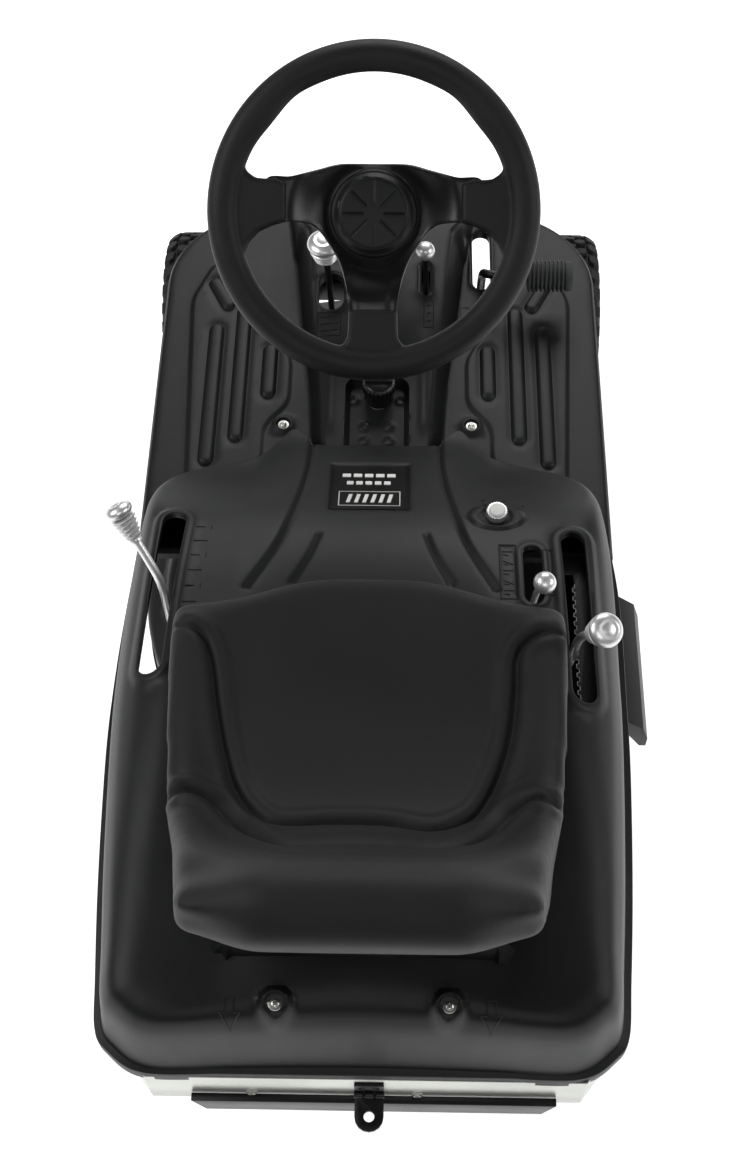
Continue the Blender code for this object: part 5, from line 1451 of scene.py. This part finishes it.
def levers():
    bright, dark = satin(), black_steel()
    hand_lever("height", ("height_lever", "height_knob"), "height",
               [(-0.2385, -0.120, 0.2735), (-0.2385, -0.130, 0.360), (-0.2385, -0.136, 0.440),
                (-0.2385, -0.138, 0.480), (-0.2450, -0.132, 0.510)], 0.0050,
               (-0.2750, -0.1000, 0.5600), beehive(0.0165, 0.046, 5, 0.60), bright)
    hand_lever("gear", ("gear_lever", "gear_knob"), "gear",
               [(0.229, -0.153, 0.290), (0.2310, -0.173, 0.360), (0.2320, -0.196, 0.440),
                (0.2320, -0.204, 0.480), (0.2360, -0.212, 0.510)], 0.0050,
               (0.2490, -0.2340, 0.5580), beehive(0.0190, 0.044, 5, 0.62), bright)
    hand_lever("throttle", ("throttle_lever",), "throttle",
               [(0.191, -0.110, 0.400), (0.191, -0.124, 0.450), (0.192, -0.136, 0.485)], 0.0040,
               (0.1950, -0.1500, 0.5200), round_knob(0.0128), bright)
    hand_lever("blade", ("blade_lever",), "blade_engage",
               [(-0.066, 0.415, 0.290), (-0.067, 0.414, 0.360), (-0.069, 0.411, 0.410)], 0.0045,
               (-0.0720, 0.4080, 0.4600), beehive(0.0225, 0.036, 3, 0.66), dark)
    hand_lever("brake", ("brake_lever",), "parking_brake",
               [(0.0645, 0.425, 0.290), (0.0645, 0.417, 0.360), (0.064, 0.411, 0.410)], 0.0036,
               (0.0620, 0.4060, 0.4600), round_knob(0.0130), dark)


def pedal():
    """Bent pedal rod with its pivot and spring, and the ribbed rubber on its end."""
    y, z = 0.455, 0.362
    path = [(0.1465, 0.520, 0.240), (0.1465, 0.512, 0.275), (0.1465, 0.500, 0.310),
            (0.1465, 0.475, 0.345), (0.1500, 0.462, 0.358), (0.1600, 0.456, z),
            (0.1760, y, z), (0.2620, y, z)]
    bar = sweep(flowing(path, 0.004), 0.0060, 20)
    pivot = lathe(fillet([(0.0, 0.0), (0.0090, 0.0), (0.0090, 0.0264), (0.0, 0.0264)], 0.001), 32,
                  (0.1256, 0.520, 0.240), (1, 0, 0))
    turns = [i / 15 for i in range(90)]
    spring = [(0.1760 + 0.0045 * t, y + 0.0080 * math.cos(2 * math.pi * t),
               z + 0.0080 * math.sin(2 * math.pi * t)) for t in turns]
    piece("pedal_rod", join(bar, pivot, sweep(spring, 0.0011, 8)), black_steel(), "pedal",
          ("pedal_arm",))
    ribs, length = 9, 0.052
    line = [(0.0066, 0.0), (0.0176, 0.0)]
    for k in range(ribs):
        h = length / ribs * k
        line += [(0.0178, h + 0.0006), (0.0216, h + 0.0012), (0.0220, h + 0.0022), (0.0216, h + 0.0034),
                 (0.0178, h + 0.0040)]
    line += [(0.0178, length), (0.0205, length + 0.0005), (0.0212, length + 0.004),
             (0.0200, length + 0.010), (0.0066, length + 0.010)]
    rubber_grip = lathe(fillet(line, 0.0004, 3) + [line[0]], 56, (0.2064, y, z), (1, 0, 0), ring=True)
    # the pad's rubber is a paler tone than the tyres' to paint the highlights on its ribs
    piece("pedal_rubber", rubber_grip, rubber("pedal_rubber", (0.030, 0.031, 0.032)), "pedal",
          ("pedal_pad",))


# ---------------------------------------------------------------- key, cap, label and marks
def key_knob():
    """Knurled key knob with its pale crown."""
    x, y = KEY
    z = value_at(hood_base, x, y)
    knurl = prism(toothed(x, y, [0.0128 - 0.0009 * (k % 4 > 1) for k in range(96)]),
                  z + 0.0045, z + 0.0145, 0.0008)
    stem = lathe([(0.0, -0.012), (0.0055, -0.012), (0.0055, 0.0060), (0.0, 0.0060)], 32, (x, y, z),
                 (0, 0, 1))
    crown = fillet([(0.0, 0.0172), (0.0080, 0.0172), (0.0098, 0.0158), (0.0102, 0.0140), (0.0, 0.0140)],
                   0.0006)
    piece("key_knob", join(knurl, stem), satin(), "key", ("ignition_key",))
    piece("key_crown", lathe(crown, 48, (x, y, z), (0, 0, 1)),
          plastic("off_white", (0.62, 0.62, 0.60), 0.35, 0.5), "key")


def fuel_cap():
    """Ribbed fuel cap with its grip bar, over the tank's neck."""
    x, y = FUEL_CAP
    teeth = [0.0222 - 0.0010 * (math.cos(24 * 2 * math.pi * k / 192) > 0.2) for k in range(192)]
    skirt = prism(toothed(x, y, teeth), 0.3575, 0.3712, 0.0012)
    bar = prism(rounded(x - 0.0185, y - 0.0036, x + 0.0185, y + 0.0036, 0.0030), 0.3705, 0.3778, 0.0010)
    dome = flowing([(0.0, 0.0030), (0.010, 0.0026), (0.0165, 0.0012), (0.0185, -0.0005)], 0.002)
    dome = lathe(dome + [(0.0, -0.0005)], 48, (x, y, 0.3710), (0, 0, 1))
    neck = [(0.0172, 0.3380), (0.0190, 0.3380), (0.0190, 0.3570), (0.0172, 0.3570), (0.0172, 0.3380)]
    piece("filler_neck", lathe(neck, 40, (x, y, 0.0), (0, 0, 1), ring=True), black_plastic(),
          "chassis")
    piece("fuel_cap_grip", join(skirt, bar, dome), plastic("cap_black", (0.0085, 0.0085, 0.009), 0.28, 0.4),
          "cap", ("fuel_cap",))


def label():
    """Gloss label in the hood's recess, with a plain frame and bars for its print."""
    x0, y0, x1, y1 = LABEL_BOX
    gloss = plastic("label_gloss", (0.0030, 0.0030, 0.0033), 0.30, 0.2)
    panel = skin(dense(rounded(x0 + 0.002, y0 + 0.002, x1 - 0.002, y1 - 0.002, 0.0035), 0.004), [],
                 lambda x, y: hood_height(x, y) + 0.0012, 0.004)
    shell("label_panel", panel, gloss, 0.0012, 0.0, "label_plate")
    mid = 0.5 * (x0 + x1)
    left, right, low, high = mid - 0.0375, mid + 0.0375, y0 + 0.010, y0 + 0.040
    shapes = bars(box_sides(left, low, right, high), 0.0007, 0.0021, hood_height)
    for k in range(6):
        x = left + 0.0085 + 0.0100 * k
        bar = [(x, low + 0.006), (x + 0.0050, low + 0.006), (x + 0.0085, high - 0.006),
               (x + 0.0035, high - 0.006)]
        shapes.append(raised(bar, 0.0021, hood_height))
    for half, y in ((0.0290, y0 + 0.055), (0.0350, y0 + 0.072)):
        for k in range(5):
            x = mid - half + 2 * half * k / 5
            bar = rounded(x, y, x + 2 * half / 5 - 0.0030, y + 0.0080, 0.0012)
            shapes.append(raised(bar, 0.0021, hood_height))
    piece("label_marks", join(*shapes), plastic("label_white", (0.72, 0.72, 0.70), 0.35, 0.3),
          "chassis")


def raised(outline, height, field):
    """A small mark that follows the surface under it."""
    loop = dense(outline, 0.004)
    z = field(np.array([p[0] for p in loop]), np.array([p[1] for p in loop]))
    rows = [(loop, -0.0012), (loop, 0.5 * height), (offset(loop, -0.0004), height)]
    return stack([[(x, y, float(h) + lift) for (x, y), h in zip(points, z)] for points, lift in rows])


def box_sides(x0, y0, x1, y1):
    corners = [(x0, y0), (x1, y0), (x1, y1), (x0, y1)]
    return [(*corners[k - 1], *corners[k]) for k in range(4)]


def bars(sides, half, height, field):
    """Straight round-ended marks, one for each (x0, y0, x1, y1)."""
    return [raised(pill(*side, half, 4), height, field) for side in sides]


def hood_marks():
    """Embossed marks of the hood: arrows, notches and plain pictograms, none of them lettering."""
    arrows = []
    for cx, cy in ((-0.135, -0.613), (0.131, -0.613)):
        arrow = [(cx - 0.0046, cy + 0.0140), (cx - 0.0046, cy), (cx - 0.0105, cy), (cx, cy - 0.0125),
                 (cx + 0.0105, cy), (cx + 0.0046, cy), (cx + 0.0046, cy + 0.0140)]
        arrows += [(*arrow[k - 1], *arrow[k]) for k in range(len(arrow))]
    wide, narrow = [], []
    # cutting height steps beside the left slot
    for k in range(7):
        x, y = -0.2050 - 0.0012 * k, -0.030 - 0.0235 * k
        wide.append((x - 0.006, y, x + (0.010 if k % 2 else 0.004), y))
        if k % 2 == 0:
            narrow.append((x + 0.012, y - 0.003, x + 0.012, y + 0.003))
    # speed range strip inboard of the throttle
    for k in range(5):
        y = -0.066 - 0.0150 * k
        wide.append((0.1540, y, 0.1650, y - (0.0055 if k % 2 else 0.0)))
        narrow.append((0.1545, y - 0.0050, 0.1600, y - 0.0062))
    # three key positions on an arc
    shapes = []
    for turn in (40.0, 75.0, 110.0):
        along, up = math.cos(math.radians(turn)), math.sin(math.radians(turn))
        dot = arc(KEY[0] + 0.036 * along, KEY[1] + 0.031 * up, 0.0034, 0, 330, 12)
        shapes.append(raised(dot, 0.0007, hood_height))
        x, y = KEY[0] + 0.044 * along, KEY[1] + 0.038 * up
        narrow.append((x - 0.0022, y, x + 0.0022, y + 0.002))
    shapes += bars(arrows, 0.0007, 0.0009, hood_height)
    shapes += bars(wide, 0.0007, 0.0008, hood_height)
    shapes += bars(narrow, 0.0006, 0.0007, hood_height)
    shapes += bars(box_sides(0.1495, -0.1385, 0.1695, -0.0555), 0.0006, 0.0008, hood_height)
    shapes += bars(box_sides(0.2010, -0.1330, 0.2110, -0.0640), 0.0005, 0.0007, hood_height)
    piece("hood_marks", join(*shapes), black_plastic(), "chassis")


def deck_marks():
    """Embossed boxes and bars beside the two small levers and the pedal."""
    wide, thin = [], box_sides(0.1150, 0.4300, 0.1270, 0.4500)
    for x0, y0, x1, y1 in ((-0.0840, 0.3420, -0.0520, 0.3770), (0.0620, 0.3560, 0.0750, 0.3980)):
        thin += box_sides(x0, y0, x1, y1)
        for k in range(3):
            y = y0 + (y1 - y0) * (k + 0.7) / 3.4
            wide.append((x0 + 0.004, y, x1 - 0.004, y + 0.002))
    wide += [(0.1160, 0.405 - 0.016 * k, 0.1240, 0.402 - 0.016 * k) for k in range(3)]
    shapes = bars(wide, 0.0007, 0.0008, deck_height) + bars(thin, 0.0005, 0.0007, deck_height)
    piece("deck_marks", join(*shapes), black_plastic(), "chassis")


# ---------------------------------------------------------------- seat
SEAT_HALF = 0.218
SEAT_FLOOR = 0.4800
SEAM_LOW = flowing([(-0.226, -0.223), (-0.200, -0.2215), (-0.1800, -0.2320), (-0.1680, -0.2600),
                    (-0.1590, -0.3100), (-0.1480, -0.3600), (-0.1320, -0.4070), (-0.1100, -0.4350),
                    (-0.0850, -0.4470), (-0.0300, -0.4440), (0.0200, -0.4450), (0.0660, -0.4530),
                    (0.0950, -0.4440), (0.1180, -0.4260), (0.1380, -0.3850), (0.1510, -0.3390),
                    (0.1570, -0.2900), (0.1600, -0.2500), (0.1720, -0.2330), (0.1900, -0.2260),
                    (0.2180, -0.2270)], 0.004)
SEAM_HIGH = flowing([(-0.205, -0.4330), (-0.1900, -0.4240), (-0.1740, -0.4215), (-0.1530, -0.4290),
                     (-0.1370, -0.4480), (-0.1150, -0.4680), (-0.0780, -0.4880), (-0.0300, -0.4860),
                     (0.0, -0.4850), (0.0300, -0.4870), (0.0660, -0.4910), (0.1000, -0.4850),
                     (0.1250, -0.4670), (0.1400, -0.4480), (0.1560, -0.4300), (0.1740, -0.4250),
                     (0.1950, -0.4360)], 0.004)


def seat_section(t):
    """Half width, y and z round the side outline of the seat at share t of its width."""
    side = float(ease((t - 0.60) / 0.35))
    front = -0.137 - 0.038 * float(ease((t - 0.2) / 0.8))
    lift = 0.030 * side
    arch = 0.010 * float(ease((t - 0.25) / 0.7))
    top = 0.722 - 0.030 * float(ease((t - 0.45) / 0.55))
    back = -0.630 + 0.026 * float(ease((t - 0.5) / 0.5))
    wide = SEAT_HALF
    return [
        (wide, front + 0.004, 0.4960), (wide, front, 0.5080),
        (wide, front - 0.006, 0.5200 + 0.3 * lift), (wide, front - 0.024, 0.5300 + 0.3 * lift),
        (wide, -0.230, 0.5250 + 0.6 * lift), (wide - 0.004, -0.330, 0.5130 + lift),
        (wide - 0.013, -0.420, 0.5170 + 1.2 * lift),
        (wide - 0.022, -0.466 + arch, 0.5400 + 1.2 * lift),
        (wide - 0.032, -0.506 + arch, 0.5900 + 0.6 * lift), (wide - 0.042, -0.540 + arch, 0.6500),
        (wide - 0.048, -0.560 + 0.5 * arch, top - 0.024), (wide - 0.050, -0.576, top - 0.004),
        (wide - 0.050, -0.598, top - 0.002), (wide - 0.050, back + 0.006, top - 0.018),
        (wide - 0.048, back, top - 0.044), (wide - 0.042, back + 0.022, 0.6100),
        (wide - 0.034, back + 0.052, 0.5450), (wide - 0.028, back + 0.084, 0.5050),
        (wide - 0.024, back + 0.110, SEAT_FLOOR + 0.005), (wide - 0.022, back + 0.130, SEAT_FLOOR),
        (wide, -0.330, SEAT_FLOOR), (wide, front - 0.030, SEAT_FLOOR), (wide, front - 0.008, 0.4850)]


def seat_ring(t, shrink):
    """One closed section of the seat, drawn in by shrink."""
    fine = flowing(seat_section(abs(t)), 0.0, True, 5)
    ring = []
    for k, (wide, y, z) in enumerate(fine):
        before, after = fine[k - 1], fine[(k + 1) % len(fine)]
        ty, tz = after[1] - before[1], after[2] - before[2]
        size = math.hypot(ty, tz)
        z = z + ty / size * shrink
        ring.append((math.copysign(abs(t) * wide, t), y - tz / size * shrink, max(z, SEAT_FLOOR)))
    return ring


def inflate(obj, pressure, most, floor):
    """Cloth under air pressure; no point travels further than most."""
    scene = bpy.context.scene
    start = np.array([v.co for v in obj.data.vertices])
    air = obj.modifiers.new("air", "CLOTH")
    air.settings.quality = 5
    air.settings.use_pressure = True
    air.settings.uniform_pressure_force = pressure
    air.settings.effector_weights.gravity = 0.0
    air.settings.tension_stiffness = 30.0
    air.settings.compression_stiffness = 30.0
    air.settings.bending_stiffness = 4.0
    air.point_cache.frame_start, air.point_cache.frame_end = 1, 20
    for number in range(1, 21):
        scene.frame_set(number)
    graph = bpy.context.evaluated_depsgraph_get()
    made = obj.evaluated_get(graph).to_mesh()
    end = np.array([v.co for v in made.vertices])
    obj.modifiers.remove(air)
    scene.frame_set(1)
    move = end - start
    ends = np.array([tuple(edge.vertices) for edge in obj.data.edges])
    share = np.bincount(ends.ravel(), minlength=len(start))[:, None] + 1.0
    for _ in range(160):  # the swell stays, the wrinkles of the loose cloth go
        total = move.copy()
        for a, b in ((0, 1), (1, 0)):
            for axis in range(3):
                total[:, axis] += np.bincount(ends[:, a], move[ends[:, b], axis], len(start))
        move = total / share
    size = np.linalg.norm(move, axis=1, keepdims=True)
    move = move * np.minimum(1.0, most / np.maximum(size, 1e-9))
    hold = rise(floor + 0.004, floor + 0.030, start[:, 2])[:, None]
    put = start + move * hold
    put[:, 2] = np.maximum(put[:, 2], floor)
    obj.data.vertices.foreach_set("co", put.astype(np.float32).ravel())
    obj.data.update()


def sew(obj):
    """Seams pressed into the upper side, with the cover swelling on both sides of each."""
    mesh = obj.data
    count = len(mesh.vertices)
    co, no = np.zeros(count * 3), np.zeros(count * 3)
    mesh.vertices.foreach_get("co", co)
    mesh.vertex_normals.foreach_get("vector", no)
    co, no = co.reshape(-1, 3), no.reshape(-1, 3)
    x, y = co[:, 0] - DATUM.x, co[:, 1] - DATUM.y
    upper = rise(0.02, 0.30, no[:, 2]) * rise(-0.56, -0.52, y)
    inboard = rise(0.214, 0.180, np.abs(x))
    low, high = to_line(x, y, SEAM_LOW), to_line(x, y, SEAM_HIGH)
    push = np.where(high < 0.03, 0.0016 * np.exp(-((low - 0.020) / 0.010) ** 2), 0.0)
    for d, deep, wide, puff in ((low, 0.0078, 0.0032, 0.0030), (high, 0.0070, 0.0036, 0.0034)):
        push -= deep * (0.30 + 0.70 * inboard) * np.exp(-(d / wide) ** 2)
        push += puff * inboard * np.exp(-((d - 0.0125) / 0.0070) ** 2)
    put = co + no * (push * upper)[:, None]
    mesh.vertices.foreach_set("co", put.astype(np.float32).ravel())
    mesh.update()
    mesh.shade_smooth()


def seat():
    """Cushion and backrest in one cover, swollen by air and sewn."""
    stations = [math.sin(a) for a in np.linspace(-math.pi / 2, math.pi / 2, 61)]
    rings = []
    for t in stations:
        out = min(1.0, max(0.0, (abs(t) - 0.915) / 0.085))
        rings.append(seat_ring(t, 0.002 + 0.013 * (1 - math.sqrt(1 - out ** 2))))
    cushion = clay("seat_cover", stack(rings), seat_vinyl(), 0.0048, 14)
    inflate(cushion, 3.0, 0.0045, SEAT_FLOOR)
    finer = cushion.modifiers.new("finer", "SUBSURF")
    finer.levels = finer.render_levels = 1
    bake(cushion)
    sew(cushion)
    attach(cushion, "seat", ("seat_cushion",))


def seat_back():
    """Thin pressed sheet that closes the rear of the cushion."""
    rings = []
    for t in np.linspace(-0.66, 0.66, 31):
        line = seat_section(abs(float(t)))[14:18]
        edge = 0.0050 * math.sqrt(max(0.0, 1 - (abs(t) / 0.66) ** 4)) - 0.0080
        path = flowing([(y - edge, z) for _, y, z in line], 0.012)
        rings.append([(float(t) * (SEAT_HALF - 0.046), y, z - 0.004) for y, z in path])
    size = min(len(ring) for ring in rings)
    rings = [[ring[round(k * (len(ring) - 1) / (size - 1))] for k in range(size)] for ring in rings]
    verts = [p for ring in rings for p in ring]
    faces = [(i * size + k, i * size + k + 1, (i + 1) * size + k + 1, (i + 1) * size + k)
             for i in range(len(rings) - 1) for k in range(size - 1)]
    pressed("seat_back_shell", (verts, faces), black_plastic(), 0.0030, "seat")


# ---------------------------------------------------------------- run
studio()
dress_frame()
foot_deck()
hood()
metalwork()
cutter_cover()
gear_gate()
fasteners()
wheel_grip()
wheel_arms()
wheel_badge()
column_tube()
wheels()
levers()
pedal()
key_knob()
fuel_cap()
label()
hood_marks()
deck_marks()
seat()
seat_back()
